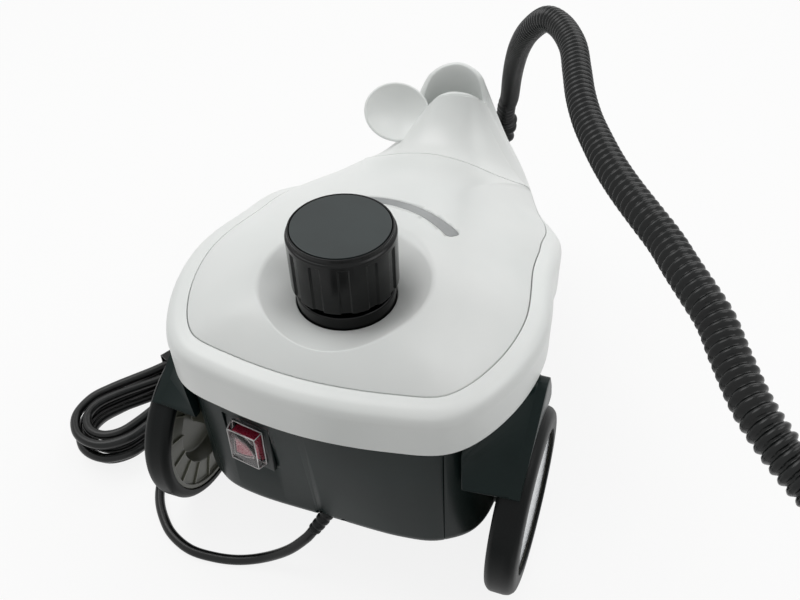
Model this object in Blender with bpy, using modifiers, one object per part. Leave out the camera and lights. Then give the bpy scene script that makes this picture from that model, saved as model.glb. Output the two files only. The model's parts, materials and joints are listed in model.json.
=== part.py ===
"""Canister steam cleaner: a pear-shaped white upper shell over a black housing, a boiler under a
screw cap, two large wheels and a caster, a ribbed steam hose with its gun, and a mains cord.

Metres, +Z up. The origin is on the floor under the filler cap's axis. +Y is the nose, where the
holster and the hose are, and the switch faces -Y.
"""

import math

import bmesh
import bpy
import numpy as np
from mathutils import Matrix, Vector

# Clearances and cutters
GAP = 0.0003
SPLIT = 0.0006
OVERRUN = 0.003
MERGE = 0.00002

# Body in plan
BODY_HALF = 0.124
BODY_REAR = -0.082
BODY_NOSE = 0.298
HOUSING_TOP_INSET = 0.014
HOUSING_TOP_REAR_INSET = 0.006
HOUSING_TOP_NOSE_INSET = 0.010
HOUSING_FOOT_INSET = 0.017
HOUSING_FOOT_REAR_INSET = 0.017
HOUSING_FOOT_NOSE_INSET = 0.022
HOUSING_TOP_HALF = BODY_HALF - HOUSING_TOP_INSET
HOUSING_TOP_REAR = BODY_REAR + HOUSING_TOP_REAR_INSET
HOUSING_TOP_NOSE = BODY_NOSE - HOUSING_TOP_NOSE_INSET
HOUSING_FOOT_HALF = BODY_HALF - HOUSING_FOOT_INSET
HOUSING_FOOT_REAR = BODY_REAR + HOUSING_FOOT_REAR_INSET
HOUSING_FOOT_NOSE = BODY_NOSE - HOUSING_FOOT_NOSE_INSET
OUTLINE_SHARES = (
    (0.0, 0.0), (0.42, 0.013), (0.73, 0.045), (0.92, 0.14), (1.0, 0.268), (0.94, 0.413),
    (0.925, 0.492), (0.885, 0.571), (0.81, 0.637), (0.685, 0.708), (0.565, 0.808),
    (0.43, 0.90), (0.225, 0.98), (0.0, 1.0),
)
TOP_SHARES = OUTLINE_SHARES[:1] + ((0.44, 0.013), (0.745, 0.040), (0.94, 0.125)) + OUTLINE_SHARES[4:]
FOOT_SHARES = OUTLINE_SHARES[:1] + ((0.50, 0.002), (0.78, 0.025), (0.97, 0.095)) + OUTLINE_SHARES[4:]
DENSE = 720
REAR_STEPS = 16
NOSE_STEPS = 7

# Upper shell: a skirt, a rounded shoulder and a flat band up to the cover's seam
SKIRT_BOTTOM = 0.165
SHELL_WALL = 0.0025
SKIRT_FACE = 0.0255
SHOULDER_WIDTH = 0.006
SHOULDER_RISE = 0.0333
BAND_WIDTH = 0.0145
BAND_RISE = 0.035
FALL_START = 0.030
FALL_SETBACK = 0.098
FALL_END = BODY_NOSE - FALL_SETBACK
FALL = 0.030

# Top cover
COVER_SETBACK = 0.111
COVER_END = BODY_NOSE - COVER_SETBACK
CROWN = 0.225
SADDLE = 0.192
CROWN_POWER = 3.0
DISH_RADIUS = 0.054
DISH_HOLE = 0.0317
DISH_FLOOR = 0.2075
LENS_RADIUS = 0.080
LENS_WIDTH = 0.0060
LENS_SPREAD = 0.4
LENS_HALF_ANGLE = 39.0
LENS_DEPTH = 0.003
LENS_TIP = 0.5

# Neck with the gun's holster
NECK_X = -0.003
NECK_SETBACK = 0.0535
NECK_Y = BODY_NOSE - NECK_SETBACK
NECK_HALF_X = 0.0315
NECK_HALF_Y = 0.0165
NECK_LOW = 0.199
NECK_RISE = 0.0375
NECK_RIM_SHARES = (
    (-180.0, 0.13), (-140.0, 0.04), (-118.0, 0.40), (-90.0, 0.63), (-45.0, 0.50), (0.0, 0.36),
    (30.0, 0.62), (60.0, 0.90), (90.0, 1.0), (120.0, 0.86), (150.0, 0.46),
)
NECK_ROW_SHARES = (0.3, 0.6, 0.85, 1.0)
FLARE_SIDE = 1.1
NOSE_BAND_SHARE = 0.7
FLARE_REAR = 2.2
POCKET_WALL = 0.0024
POCKET_LAP = 0.0012
POCKET_FLOOR = 0.168
POCKET_FLOOR_WALL = 0.003
SCOOP_X = -0.0461
SCOOP_SETBACK = 0.076
SCOOP_Y = BODY_NOSE - SCOOP_SETBACK
SCOOP_Z = 0.2021
SCOOP_HALF_WIDTH = 0.0253
SCOOP_HALF_HEIGHT = 0.0223
SCOOP_DEPTH = 0.009
SCOOP_WALL = 0.0032
SCOOP_ROW_SHARES = (0.4, 0.75, 1.0)
SCOOP_AIM = (0.30, -0.70, 0.65)

# Housing, rear panel and base plate
HOUSING_FOOT = 0.050
HOUSING_WALL = 0.003
FOOT_BEVEL = 0.007
FOOT_LEDGE = 0.0025
HOUSING_SHOULDER = 0.163
FLANGE_RISE = 0.004
FLANGE_LIP = 0.007
PANEL_INSET = 0.042
PANEL_REACH = 0.052
PANEL_HALF = BODY_HALF - PANEL_INSET
PANEL_FRONT = BODY_REAR + PANEL_REACH
BASE_WALL = 0.003

# Wheels
WHEEL_Y = -0.013
WHEEL_RADIUS = 0.0653
TYRE_WALL = 0.007
WHEEL_INSET = 0.0101
WHEEL_INNER = BODY_HALF - WHEEL_INSET
WHEEL_WIDTH = 0.0205
TYRE_ROUND = 0.003
TYRE_SHOULDER = 0.007
AXLE_RADIUS = 0.004
BEARING_PLAY = 0.0001
BUSH_RADIUS = 0.008
BUSH_INSET = 0.036
BUSH_START = BODY_HALF - BUSH_INSET
HUB_RADIUS = 0.0579
HUB_DEPTH = 0.0185
HUB_RIM = 0.0034
HUB_EDGE = 0.001
DISC_WALL = 0.002
DISC_INSET = 0.0035
CUP_RADIUS = 0.038
CUP_FLOOR_RADIUS = 0.0295
CUP_DEPTH = 0.0120
BOSS_RADIUS = 0.009
RIB_COUNT = 16
RIB_WALL = 0.0012
RIB_RISE = 0.0012
HUB_CAP_RADIUS = 0.0440
HUB_CAP_WALL = 0.0012
CLIP_RADIUS = 0.0072
CLIP_WALL = 0.0012
AXLE_REACH = 0.0063
AXLE_HALF = BODY_HALF + AXLE_REACH

# Wheel arches
ARCH_REACH = 0.005
ARCH_DEPTH = 0.036
ARCH_OUTER = BODY_HALF + ARCH_REACH
ARCH_INNER = ARCH_OUTER - ARCH_DEPTH
ARCH_DROP = 0.0006
ARCH_CLEARANCE = 0.0022
ARCH_SIDE_CLEARANCE = 0.0019
ARCH_INNER_SHARES = (
    (-0.69, 1.822), (-0.72, 2.144), (-0.75, 2.6), (1.118, 2.6), (1.24, 2.16), (1.348, 1.822),
)
ARCH_OUTER_SHARES = (
    (-0.658, 1.822), (-0.138, 2.098), (0.335, 2.42), (0.48, 2.40), (0.66, 2.08),
    (0.74, 1.84),
)

# Filler and boiler
COLLAR_RADIUS = 0.031
COLLAR_BOTTOM = 0.2045
COLLAR_TOP = 0.2165
FILLER_OUTER = 0.0165
FILLER_BORE = 0.0125
BOILER_RADIUS = 0.056
BOILER_TOP = 0.186
BOILER_BOTTOM = 0.078
BOILER_WALL = 0.0018
BOILER_ROUND = 0.018
STAND_RADIUS = 0.042
STAND_WALL = 0.003
HEATER_RADIUS = 0.029
HEATER_TUBE = 0.004
SENSOR_RADIUS = 0.009
SENSOR_DEPTH = 0.006
SENSOR_HEIGHT = 0.130
PIPE_RADIUS = 0.003
PIPE_HEIGHT = 0.140
VALVE_SIZE = (0.026, 0.034, 0.028)
VALVE_Y = 0.112
TERMINAL_SIZE = (0.040, 0.014, 0.018)
TERMINAL_X = 0.045
TERMINAL_Y = 0.075

# Cap
CAP_RADIUS = 0.0332
CAP_BOTTOM = 0.2205
CAP_TOP = 0.262
CAP_WALL = 0.003
CAP_ROUND = 0.0015
DISC_RADIUS = 0.0300
DISC_THICK = 0.0012
FLUTES = 12
FLUTE_SHARES = (0.0, 0.58, 0.63, 0.95)
FLUTE_DEPTH = 0.0011
DISC_PROUD = 0.0002
CAP_CEILING = 0.257
PLUG_RADIUS = 0.0121
PLUG_BOTTOM = 0.190
PLUG_FLANGE = 0.0023
PLUG_CORE = 0.010
SEAL_RADIUS = 0.0150
SEAL_THICK = 0.0022

# Switch
SWITCH_X = -0.046
SWITCH_Z = 0.126
SWITCH_YAW = -11.0
SWITCH_TILT = 5.0
BEZEL_SIZE = (0.034, 0.0028, 0.052)
BEZEL_BODY = (0.0256, 0.014, 0.0436)
BEZEL_HOLE = (0.0194, 0.0378)
ROCKER_WIDTH = 0.0180
ROCKER_REST = 10.0
ROCKER_SHARES = ((0.0, -0.02), (0.5, -0.22), (0.47, 0.3), (0.0, 0.5), (-0.47, 0.3), (-0.5, -0.22))
ROCKER_HEIGHT = 0.034
ROCKER_DEPTH = 0.012
ROCKER_PIVOT = 0.0045
COVER_BASE = (0.024, 0.043)
COVER_FACE = (0.0215, 0.0395)
COVER_PROUD = 0.0125
COVER_WALL = 0.001

# Caster
CASTER_SETBACK = 0.063
CASTER_Y = BODY_NOSE - CASTER_SETBACK
CASTER_PLATE = (0.044, 0.044, 0.0045)
CASTER_RADIUS = 0.018
CASTER_WIDTH = 0.014
CASTER_TRAIL = 0.011
CASTER_PIN = 0.003
FORK_RADIUS = 0.019
FORK_WALL = 0.003
FORK_TOP = 0.0035
FORK_CHEEK = 0.018
FORK_STEM = 0.005

# Steam hose
HOSE_RADIUS = 0.0085
HOSE_ROOT = 0.0072
HOSE_BORE = 0.0042
HOSE_PITCH = 0.0104
HOSE_STEP = 0.024
BOOT_RADIUS = 0.0135
BOOT_TIP = 0.0108
BOOT_RIBS = 9
BOOT_RIB = 0.0012
BOOT_HOLE = 0.0143
BOOT_FROM_NOSE = (
    (0.0045, -0.028, 0.101), (0.0055, -0.014, 0.104), (0.008, 0.001, 0.108),
    (0.012, 0.0155, 0.1145), (0.0165, 0.0255, 0.126), (0.0192, 0.0275, 0.138),
    (0.0207, 0.024, 0.1495),
)
BOOT_POINTS = tuple((x, BODY_NOSE + y, z) for x, y, z in BOOT_FROM_NOSE)
HOSE_POINTS = (
    (0.026, 0.312, 0.178), (0.033, 0.285, 0.212), (0.042, 0.252, 0.245),
    (0.052, 0.220, 0.275), (0.064, 0.190, 0.302), (0.079, 0.164, 0.324), (0.092, 0.145, 0.330),
    (0.105, 0.116, 0.333), (0.113, 0.088, 0.333), (0.120, 0.063, 0.332), (0.128, 0.041, 0.331),
    (0.137, 0.021, 0.331), (0.146, 0.003, 0.331), (0.156, -0.014, 0.331), (0.168, -0.032, 0.331),
    (0.179, -0.047, 0.330), (0.188, -0.063, 0.330), (0.197, -0.077, 0.329), (0.205, -0.089, 0.327),
    (0.213, -0.106, 0.324), (0.225, -0.128, 0.320), (0.245, -0.147, 0.312), (0.266, -0.156, 0.303),
    (0.287, -0.153, 0.288), (0.305, -0.141, 0.266), (0.316, -0.124, 0.238), (0.321, -0.099, 0.190),
    (0.322, -0.079, 0.130),
)
DROP_RADIUS = 0.066
COIL_X = 0.254
COIL_Y = -0.175
COIL_RADIUS = 0.068
COIL_GROWTH = 0.055
COIL_TURNS = 1.25
LOOP_POINTS = 24
SPLITS = 4

# Steam gun, in its own axes: forward, up and across, then laid on its side
GUN_X = 0.0035
GUN_TURN = 105.0
GUN_HALF = 0.020
GUN_LENGTH = 0.100
GUN_WALL = 0.0024
GUN_ROUND = 0.005
GUN_POINTS = 30
GUN_SHARES = (
    (0.66, -0.14), (0.66, 0.12), (0.54, 0.19), (0.20, 0.205), (-0.20, 0.20), (-0.34, 0.14),
    (-0.385, 0.0), (-0.355, -0.15), (-0.33, -0.32), (-0.375, -0.60), (-0.455, -0.88),
    (-0.51, -1.06), (-0.50, -1.10), (-0.36, -1.14), (-0.22, -1.18), (-0.185, -1.15),
    (-0.17, -1.02), (-0.10, -0.78), (-0.05, -0.55), (0.01, -0.38), (0.10, -0.26), (0.30, -0.205),
    (0.52, -0.185),
)
TRIGGER_SHARES = (
    (0.07, -0.10), (0.16, -0.10), (0.23, -0.20), (0.235, -0.32), (0.18, -0.44), (0.135, -0.56),
    (0.10, -0.57), (0.095, -0.46), (0.13, -0.33), (0.12, -0.24), (0.07, -0.18),
)
TRIGGER_HALF = 0.004
TRIGGER_SLOT = (-0.008, -0.066, 0.027, -0.004)
TRIGGER_PIVOT = (0.0115, -0.0145)
TRIGGER_PIN = 0.0015
LOCK_SIZE = (0.008, 0.014, 0.006)
LOCK_SPOT = (-0.016, -0.040)
LOCK_SLOT = 0.006
LOCK_PROUD = 0.0024
GUN_VALVE = (0.034, 0.018, 0.020)
NOZZLE_START = 0.045
NOZZLE_RADIUS = 0.0085
NOZZLE_COLLAR = 0.0115
NOZZLE_TIP = 0.0065
NOZZLE_END = 0.109
NOZZLE_BORE = 0.0025
CUFF_LENGTH = 0.042
CUFF_INSET = 0.012
CUFF_RADIUS = 0.0125
CUFF_TIP = 0.0105

# Mains cord, its hank and its plug
CORD_RADIUS = 0.00375
CORD_STEP = 0.016
RELIEF_RADIUS = 0.0060
RELIEF_TIP = 0.0046
RELIEF_POINTS = (
    (0.0035, -0.046, 0.0675), (0.002, -0.053, 0.0625), (-0.0005, -0.060, 0.0570),
    (-0.0045, -0.0655, 0.0505), (-0.0085, -0.0695, 0.0445),
)
CORD_POINTS = (
    (-0.0088, -0.0698, 0.0441), (-0.0135, -0.0737, 0.0380), (-0.026, -0.079, 0.0238),
    (-0.045, -0.083, 0.0100), (-0.064, -0.0885, 0.0050), (-0.083, -0.092, 0.0045),
    (-0.103, -0.092, 0.0045), (-0.122, -0.085, 0.0045), (-0.136, -0.074, 0.0045),
    (-0.147, -0.061, 0.0045), (-0.1545, -0.046, 0.0045), (-0.160, -0.028, 0.0048),
    (-0.1640, -0.010, 0.0053),
)
HANK_X = -0.179
HANK_Y = 0.044
HANK_TURN = 61.9
HANK_RUN = 0.138
HANK_HALF = 0.0315
HANK_WAIST = 0.0095
HANK_STEP = 0.0093
HANK_RISE = 0.0085
HANK_REACH = 1.5
HANK_LAYERS = 4
HANK_CLIMB = 0.30
TAIL_SHARES = ((0.24, 0.90, 1.02), (0.5, 1.22, 0.97), (0.72, 1.42, 0.78), (0.92, 1.55, 0.52))
TIE_WIDTH = 0.012
TIE_WALL = 0.0012
TIE_ROUND = 0.0025
PLUG_PIN = 0.002
PLUG_PIN_GAP = 0.019
PLUG_PIN_LENGTH = 0.019
PLUG_SIZE = (0.034, 0.046, 0.019)
PLUG_NECK = 0.0062

COLOURS = {
    "white_shell": ("DDE0DE", 0.38, 0.0, 1.0),
    "black_shell": ("343B3A", 0.45, 0.0, 1.0),
    "smoked_lens": ("8F9292", 0.15, 0.0, 0.55),
    "cap_black": ("2A2E2F", 0.30, 0.0, 1.0),
    "cap_grey": ("474C4C", 0.35, 0.0, 1.0),
    "tyre": ("191B1C", 0.65, 0.0, 1.0),
    "hub": ("77786E", 0.35, 0.0, 1.0),
    "steel": ("A9ADB0", 0.30, 1.0, 1.0),
    "brass": ("B8964A", 0.32, 1.0, 1.0),
    "aluminium": ("B9BCBE", 0.40, 1.0, 1.0),
    "rubber": ("16181A", 0.55, 0.0, 1.0),
    "cord": ("0E1011", 0.35, 0.0, 1.0),
    "rocker_red": ("8C2338", 0.30, 0.0, 1.0),
    "clear_cover": ("E8ECEC", 0.08, 0.0, 0.35),
    "silicone": ("C9A58A", 0.50, 0.0, 1.0),
}


# Scene, materials and placing

def clear_scene():
    for obj in list(bpy.data.objects):
        bpy.data.objects.remove(obj, do_unlink=True)


def new_collection(name):
    made = bpy.data.collections.new(name)
    bpy.context.scene.collection.children.link(made)
    return made


def finish(name):
    """The Principled material of that name, made once."""
    if name in bpy.data.materials:
        return bpy.data.materials[name]
    code, roughness, metallic, alpha = COLOURS[name]
    made = bpy.data.materials.new(name)
    made.use_nodes = True
    shader = made.node_tree.nodes["Principled BSDF"]
    shares = [int(code[i:i + 2], 16) / 255 for i in (0, 2, 4)]
    linear = [s / 12.92 if s <= 0.04045 else ((s + 0.055) / 1.055) ** 2.4 for s in shares]
    shader.inputs["Base Color"].default_value = (*linear, 1)
    shader.inputs["Roughness"].default_value = roughness
    shader.inputs["Metallic"].default_value = metallic
    shader.inputs["Alpha"].default_value = alpha
    made.diffuse_color = (*linear, alpha)
    return made


clear_scene()
PARTS = new_collection("steam_cleaner")
CUTTERS = new_collection("cutters")


def place(name, data, material=None):
    """A part in the object's collection, or a hidden cutter where it has no material."""
    obj = bpy.data.objects.new(name, data)
    if material is None:
        CUTTERS.objects.link(obj)
        obj.display_type = "WIRE"
        obj.hide_render = True
    else:
        data.materials.append(finish(material))
        PARTS.objects.link(obj)
    return obj


def from_bmesh(name, bm, material=None, smooth=True):
    mesh = bpy.data.meshes.new(name)
    bmesh.ops.recalc_face_normals(bm, faces=bm.faces)
    bm.to_mesh(mesh)
    bm.free()
    if smooth:
        mesh.shade_smooth()
        mesh.set_sharp_from_angle(angle=math.radians(35))
    return place(name, mesh, material)


def from_faces(name, points, faces, material=None):
    bm = bmesh.new()
    made = [bm.verts.new(p) for p in points]
    for face in faces:
        bm.faces.new([made[i] for i in face])
    return from_bmesh(name, bm, material)


def cut(target, *cutters):
    for cutter in cutters:
        step = target.modifiers.new(f"Cut {cutter.name}", "BOOLEAN")
        step.operation = "DIFFERENCE"
        step.object = cutter
    return target


def join(target, *pieces):
    for piece in pieces:
        step = target.modifiers.new(f"Join {piece.name}", "BOOLEAN")
        step.operation = "UNION"
        step.object = piece
    return target


def bevel(target, width, segments=2, angle=40.0):
    step = target.modifiers.new("Round", "BEVEL")
    step.width = width
    step.segments = segments
    step.limit_method = "ANGLE"
    step.angle_limit = math.radians(angle)
    return target


# Basic forms

def box(name, size, centre, material=None, round_edges=0.0, turn=(0.0, 0.0, 0.0)):
    bm = bmesh.new()
    bmesh.ops.create_cube(bm, size=1.0)
    bmesh.ops.scale(bm, vec=size, verts=bm.verts)
    obj = from_bmesh(name, bm, material, smooth=False)
    obj.location = centre
    obj.rotation_euler = turn
    if round_edges:
        bevel(obj, round_edges, 1)
    return obj


def rod(name, radius, length, centre, axis="Z", material=None, sides=24, tip=None):
    """A cylinder, or a cone where tip gives the radius at its far end."""
    bm = bmesh.new()
    bmesh.ops.create_cone(
        bm, cap_ends=True, segments=sides, radius1=radius,
        radius2=radius if tip is None else tip, depth=length,
    )
    turn = {"X": Matrix.Rotation(math.pi / 2, 4, "Y"), "Y": Matrix.Rotation(-math.pi / 2, 4, "X")}
    if axis in turn:
        bmesh.ops.transform(bm, matrix=turn[axis], verts=bm.verts)
    obj = from_bmesh(name, bm, material)
    obj.location = centre
    return obj


def turned(name, profile, material=None, steps=32, ring=False, centre=(0.0, 0.0, 0.0), axis="Z"):
    """A profile of (radius, height), down its outer side, turned about an axis."""
    count = len(profile)
    mesh = bpy.data.meshes.new(name)
    mesh.from_pydata(
        [(r, 0.0, z) for r, z in profile],
        [(i, (i + 1) % count) for i in range(count if ring else count - 1)], [],
    )
    obj = place(name, mesh, material)
    screw = obj.modifiers.new("Turn", "SCREW")
    screw.steps = screw.render_steps = steps
    screw.use_merge_vertices = True
    screw.merge_threshold = MERGE
    screw.use_smooth_shade = True
    obj.location = centre
    if axis == "X":
        obj.rotation_euler = (0.0, math.pi / 2, 0.0)
    if axis == "Y":
        obj.rotation_euler = (-math.pi / 2, 0.0, 0.0)
    return obj


def loft(name, loops, material=None, ring=False):
    """Skin over loops of equally many points, capped at both ends or joined end to end."""
    count = len(loops[0])
    points = [tuple(p) for loop in loops for p in loop]
    rows = len(loops)
    faces = []
    for row in range(rows if ring else rows - 1):
        a, b = row * count, (row + 1) % rows * count
        for i in range(count):
            j = (i + 1) % count
            faces.append((a + i, a + j, b + j, b + i))
    if not ring:
        faces.append(tuple(range(count))[::-1])
        faces.append(tuple((rows - 1) * count + i for i in range(count)))
    return from_faces(name, points, faces, material)


def baked(obj):
    """The object's evaluated mesh as a new object of its own, with the old one removed."""
    graph = bpy.context.evaluated_depsgraph_get()
    mesh = bpy.data.meshes.new_from_object(obj.evaluated_get(graph))
    bm = bmesh.new()
    bm.from_mesh(mesh)
    bmesh.ops.remove_doubles(bm, verts=bm.verts, dist=MERGE)
    bm.to_mesh(mesh)
    bm.free()
    made = bpy.data.objects.new(obj.name, mesh)
    made.matrix_world = obj.matrix_world
    for group in obj.users_collection:
        group.objects.link(made)
    made.display_type, made.hide_render = obj.display_type, obj.hide_render
    name = obj.name
    bpy.data.objects.remove(obj, do_unlink=True)
    made.name = name
    return made


# Body outline

def catmull(points, at):
    """Points on the closed Catmull-Rom curve through points, at parameters in 0 to len(points)."""
    points = np.asarray(points, float)
    count = len(points)
    i = np.floor(at).astype(int)
    t = (at - i)[:, None]
    p0, p1, p2, p3 = (points[(i + k) % count] for k in (-1, 0, 1, 2))
    return 0.5 * (
        2 * p1 + (p2 - p0) * t + (2 * p0 - 5 * p1 + 4 * p2 - p3) * t ** 2
        + (3 * p1 - p0 - 3 * p2 + p3) * t ** 3
    )


def plan(half, rear, nose, at, outline=OUTLINE_SHARES):
    """The pear outline of one level, from the rear middle round by +X."""
    right = np.array(outline)
    left = right[1:-1][::-1] * (-1, 1)
    shares = catmull(np.vstack([right, left]), at)
    return shares * (half, nose - rear) + (0.0, rear)


def even_parameters():
    """Curve parameters that space DENSE points evenly along the body's outline."""
    fine = np.linspace(0, 2 * len(OUTLINE_SHARES) - 2, 20 * DENSE, endpoint=False)
    line = plan(BODY_HALF, BODY_REAR, BODY_NOSE, fine)
    steps = np.linalg.norm(np.diff(np.vstack([line, line[:1]]), axis=0), axis=1)
    along = np.concatenate([[0], np.cumsum(steps)])
    return np.interp(
        np.linspace(0, along[-1], DENSE, endpoint=False), along,
        np.append(fine, 2 * len(OUTLINE_SHARES) - 2),
    )


EVEN = even_parameters()


def inset(loop, distance):
    """A closed loop moved inwards, square to itself."""
    way = np.roll(loop, -1, axis=0) - np.roll(loop, 1, axis=0)
    way /= np.linalg.norm(way, axis=1)[:, None]
    return loop + np.stack([-way[:, 1], way[:, 0]], axis=1) * distance


def fall(y):
    """How far the seam and the skirt have come down at y on their way to the nose."""
    t = np.clip((y - FALL_START) / (FALL_END - FALL_START), 0, 1)
    return FALL * t * t * (3 - 2 * t)


def stations():
    """Places along the outline, with one where the cover's front edge meets the band."""
    seam = inset(plan(BODY_HALF, BODY_REAR, BODY_NOSE, EVEN), BAND_WIDTH)[:DENSE // 2, 1]
    corner = int(np.argmax(seam > COVER_END))
    half = np.concatenate([
        np.linspace(0, corner, REAR_STEPS + 1)[:-1], np.linspace(corner, DENSE // 2, NOSE_STEPS + 1),
    ]).round().astype(int)
    return np.concatenate([half, (DENSE - half[1:-1][::-1])])


STATIONS = stations()
CORNER = REAR_STEPS
AROUND = len(STATIONS)


def level(half, rear, nose, distance, height, falls=True, outline=OUTLINE_SHARES):
    """A loop of 3-D points: one level's outline, set in, at a height that falls to the nose."""
    flat = inset(plan(half, rear, nose, EVEN, outline), distance)[STATIONS]
    z = height - fall(flat[:, 1]) if falls else np.full(len(flat), height)
    return np.column_stack([flat, z])


def shell_level(distance, rise):
    return level(BODY_HALF, BODY_REAR, BODY_NOSE, distance, SKIRT_BOTTOM + rise)


def shell_row(distance, rise):
    """One level of the shell, with the band narrowed from the cover's front edge to the nose."""
    row = shell_level(distance, rise)
    t = np.clip((row[:, 1:2] - COVER_END) / (BODY_NOSE - COVER_END), 0, 1)
    return row + (shell_level(distance * NOSE_BAND_SHARE, rise) - row) * t * t * (3 - 2 * t)


def front_line(count):
    """The saddle between the cover's two front corners, without its ends, from +X to -X."""
    corner = shell_level(BAND_WIDTH, BAND_RISE)[CORNER]
    x = np.linspace(corner[0], -corner[0], count + 2)[1:-1]
    z = corner[2] + (SADDLE - corner[2]) * np.cos(x / corner[0] * math.pi / 2)
    return np.column_stack([x, np.full(count, corner[1]), z])


# Upper shell

def rim_height(angle):
    """The mouth's edge: high at the hood and the tongue, low at both sides."""
    places = np.array([a for a, _ in NECK_RIM_SHARES] + [NECK_RIM_SHARES[0][0] + 360])
    shares = np.array([s for _, s in NECK_RIM_SHARES])
    turn = (np.degrees(angle) + 180) % 360 - 180
    at = np.interp(turn, places, np.arange(len(places)))
    return NECK_LOW + NECK_RISE * catmull(shares[:, None], at)[:, 0]


def neck_ring(angle, shrink=0.0):
    return np.column_stack([
        NECK_X + (NECK_HALF_X - shrink) * np.cos(angle),
        NECK_Y + (NECK_HALF_Y - shrink) * np.sin(angle), rim_height(angle),
    ])


def neck_angles(edge):
    out = (edge[:, :2] - (NECK_X, NECK_Y)) / (NECK_HALF_X, NECK_HALF_Y)
    return np.arctan2(out[:, 1], out[:, 0])


def neck_rows(edge):
    """Rows from the front opening's edge up the flared neck to the rim of its mouth."""
    angle = neck_angles(edge)
    top = neck_ring(angle)
    rearward = np.clip(-np.sin(angle), 0, 1)[:, None] ** 2
    power = FLARE_SIDE + (FLARE_REAR - FLARE_SIDE) * rearward
    rows = []
    for share in NECK_ROW_SHARES:
        row = edge + (top - edge) * share
        row[:, 2:] = edge[:, 2:] + (top - edge)[:, 2:] * share ** power
        rows.append(row)
    return rows


def sheet(name, rows, extra_faces, points, material, wall):
    """An open skin made of closed rows and extra faces, thickened inwards."""
    faces = list(extra_faces)
    for row in range(rows - 1):
        a, b = row * AROUND, (row + 1) * AROUND
        faces += [(a + i, a + (i + 1) % AROUND, b + (i + 1) % AROUND, b + i) for i in range(AROUND)]
    mesh = bpy.data.meshes.new(name)
    mesh.from_pydata([tuple(p) for p in points], [], faces)
    mesh.shade_smooth()
    mesh.set_sharp_from_angle(angle=math.radians(35))
    obj = place(name, mesh, material)
    thick = obj.modifiers.new("Wall", "SOLIDIFY")
    thick.thickness = wall
    thick.offset = -1.0
    return obj


def pocket_solid(name, angle, wall, floor, top=None):
    """The upright oval of the holster's pocket, with a mouth like the rim's or a level one."""
    mouth = neck_ring(angle, wall)
    mouth[:, 2] = mouth[:, 2] - GAP if top is None else top
    foot = mouth.copy()
    foot[:, 2] = floor
    return loft(name, [foot, mouth])


def scoop_solid():
    """The dished side lobe: an oval bowl that faces the rear."""
    aim = Vector(SCOOP_AIM).normalized()
    up = Vector((0.0, -aim.y * aim.z, aim.y * aim.y)).normalized()
    side = up.cross(aim)
    centre = Vector((SCOOP_X, SCOOP_Y, SCOOP_Z))
    angle = np.linspace(0, 2 * math.pi, 24, endpoint=False)
    loops = []
    for wall, shares in ((0.0, SCOOP_ROW_SHARES), (SCOOP_WALL, SCOOP_ROW_SHARES[::-1])):
        for share in shares:
            depth = SCOOP_DEPTH * (share ** 2 - 1) - wall
            loops.append([
                centre + side * (SCOOP_HALF_WIDTH * share * math.cos(a))
                + up * (SCOOP_HALF_HEIGHT * share * math.sin(a)) + aim * depth for a in angle
            ])
    return loft("scoop", loops)


def upper_shell():
    profile = (
        (0.0, 0.0), (0.0, SKIRT_FACE),
        (SHOULDER_WIDTH / 3, SKIRT_FACE + (SHOULDER_RISE - SKIRT_FACE) * 0.64),
        (SHOULDER_WIDTH, SHOULDER_RISE), (BAND_WIDTH, BAND_RISE),
    )
    points = [p for d, rise in profile for p in shell_row(d, rise)]
    seam_row = (len(profile) - 1) * AROUND
    nose = [seam_row + i for i in range(CORNER, AROUND - CORNER + 1)]
    line = front_line(9)[::-1]
    first = len(points)
    points += list(line)
    edge_ids = nose + list(range(first, first + len(line)))
    edge = np.array([points[i] for i in edge_ids])
    faces = []
    below = edge_ids
    for row in neck_rows(edge):
        above = list(range(len(points), len(points) + len(row)))
        points += list(row)
        for i in range(len(edge_ids)):
            j = (i + 1) % len(edge_ids)
            faces.append((below[i], below[j], above[j], above[i]))
        below = above
    shell = sheet("upper_shell", len(profile), faces, points, "white_shell", SHELL_WALL)
    lap, angle = POCKET_LAP, neck_angles(edge)
    cup = pocket_solid("pocket_cup", angle, lap, POCKET_FLOOR - POCKET_FLOOR_WALL)
    over = NECK_LOW + 2 * NECK_RISE
    hollow = pocket_solid("pocket_hollow", angle, lap + POCKET_WALL, POCKET_FLOOR, over)
    join(shell, cup, scoop_solid())
    cut(shell, hollow)
    return shell


# Top cover with its dish and lens

def cover_edge(shrink):
    """The cover's edge, round the rear and sides and then across the front."""
    side = shell_level(BAND_WIDTH + shrink, BAND_RISE)
    keep = [i % AROUND for i in range(AROUND - CORNER, AROUND + CORNER + 1)]
    front = front_line(9)
    edge = np.vstack([side[keep], front])
    edge[:, 1] = np.minimum(edge[:, 1], front[0, 1] - shrink)
    return edge


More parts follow.
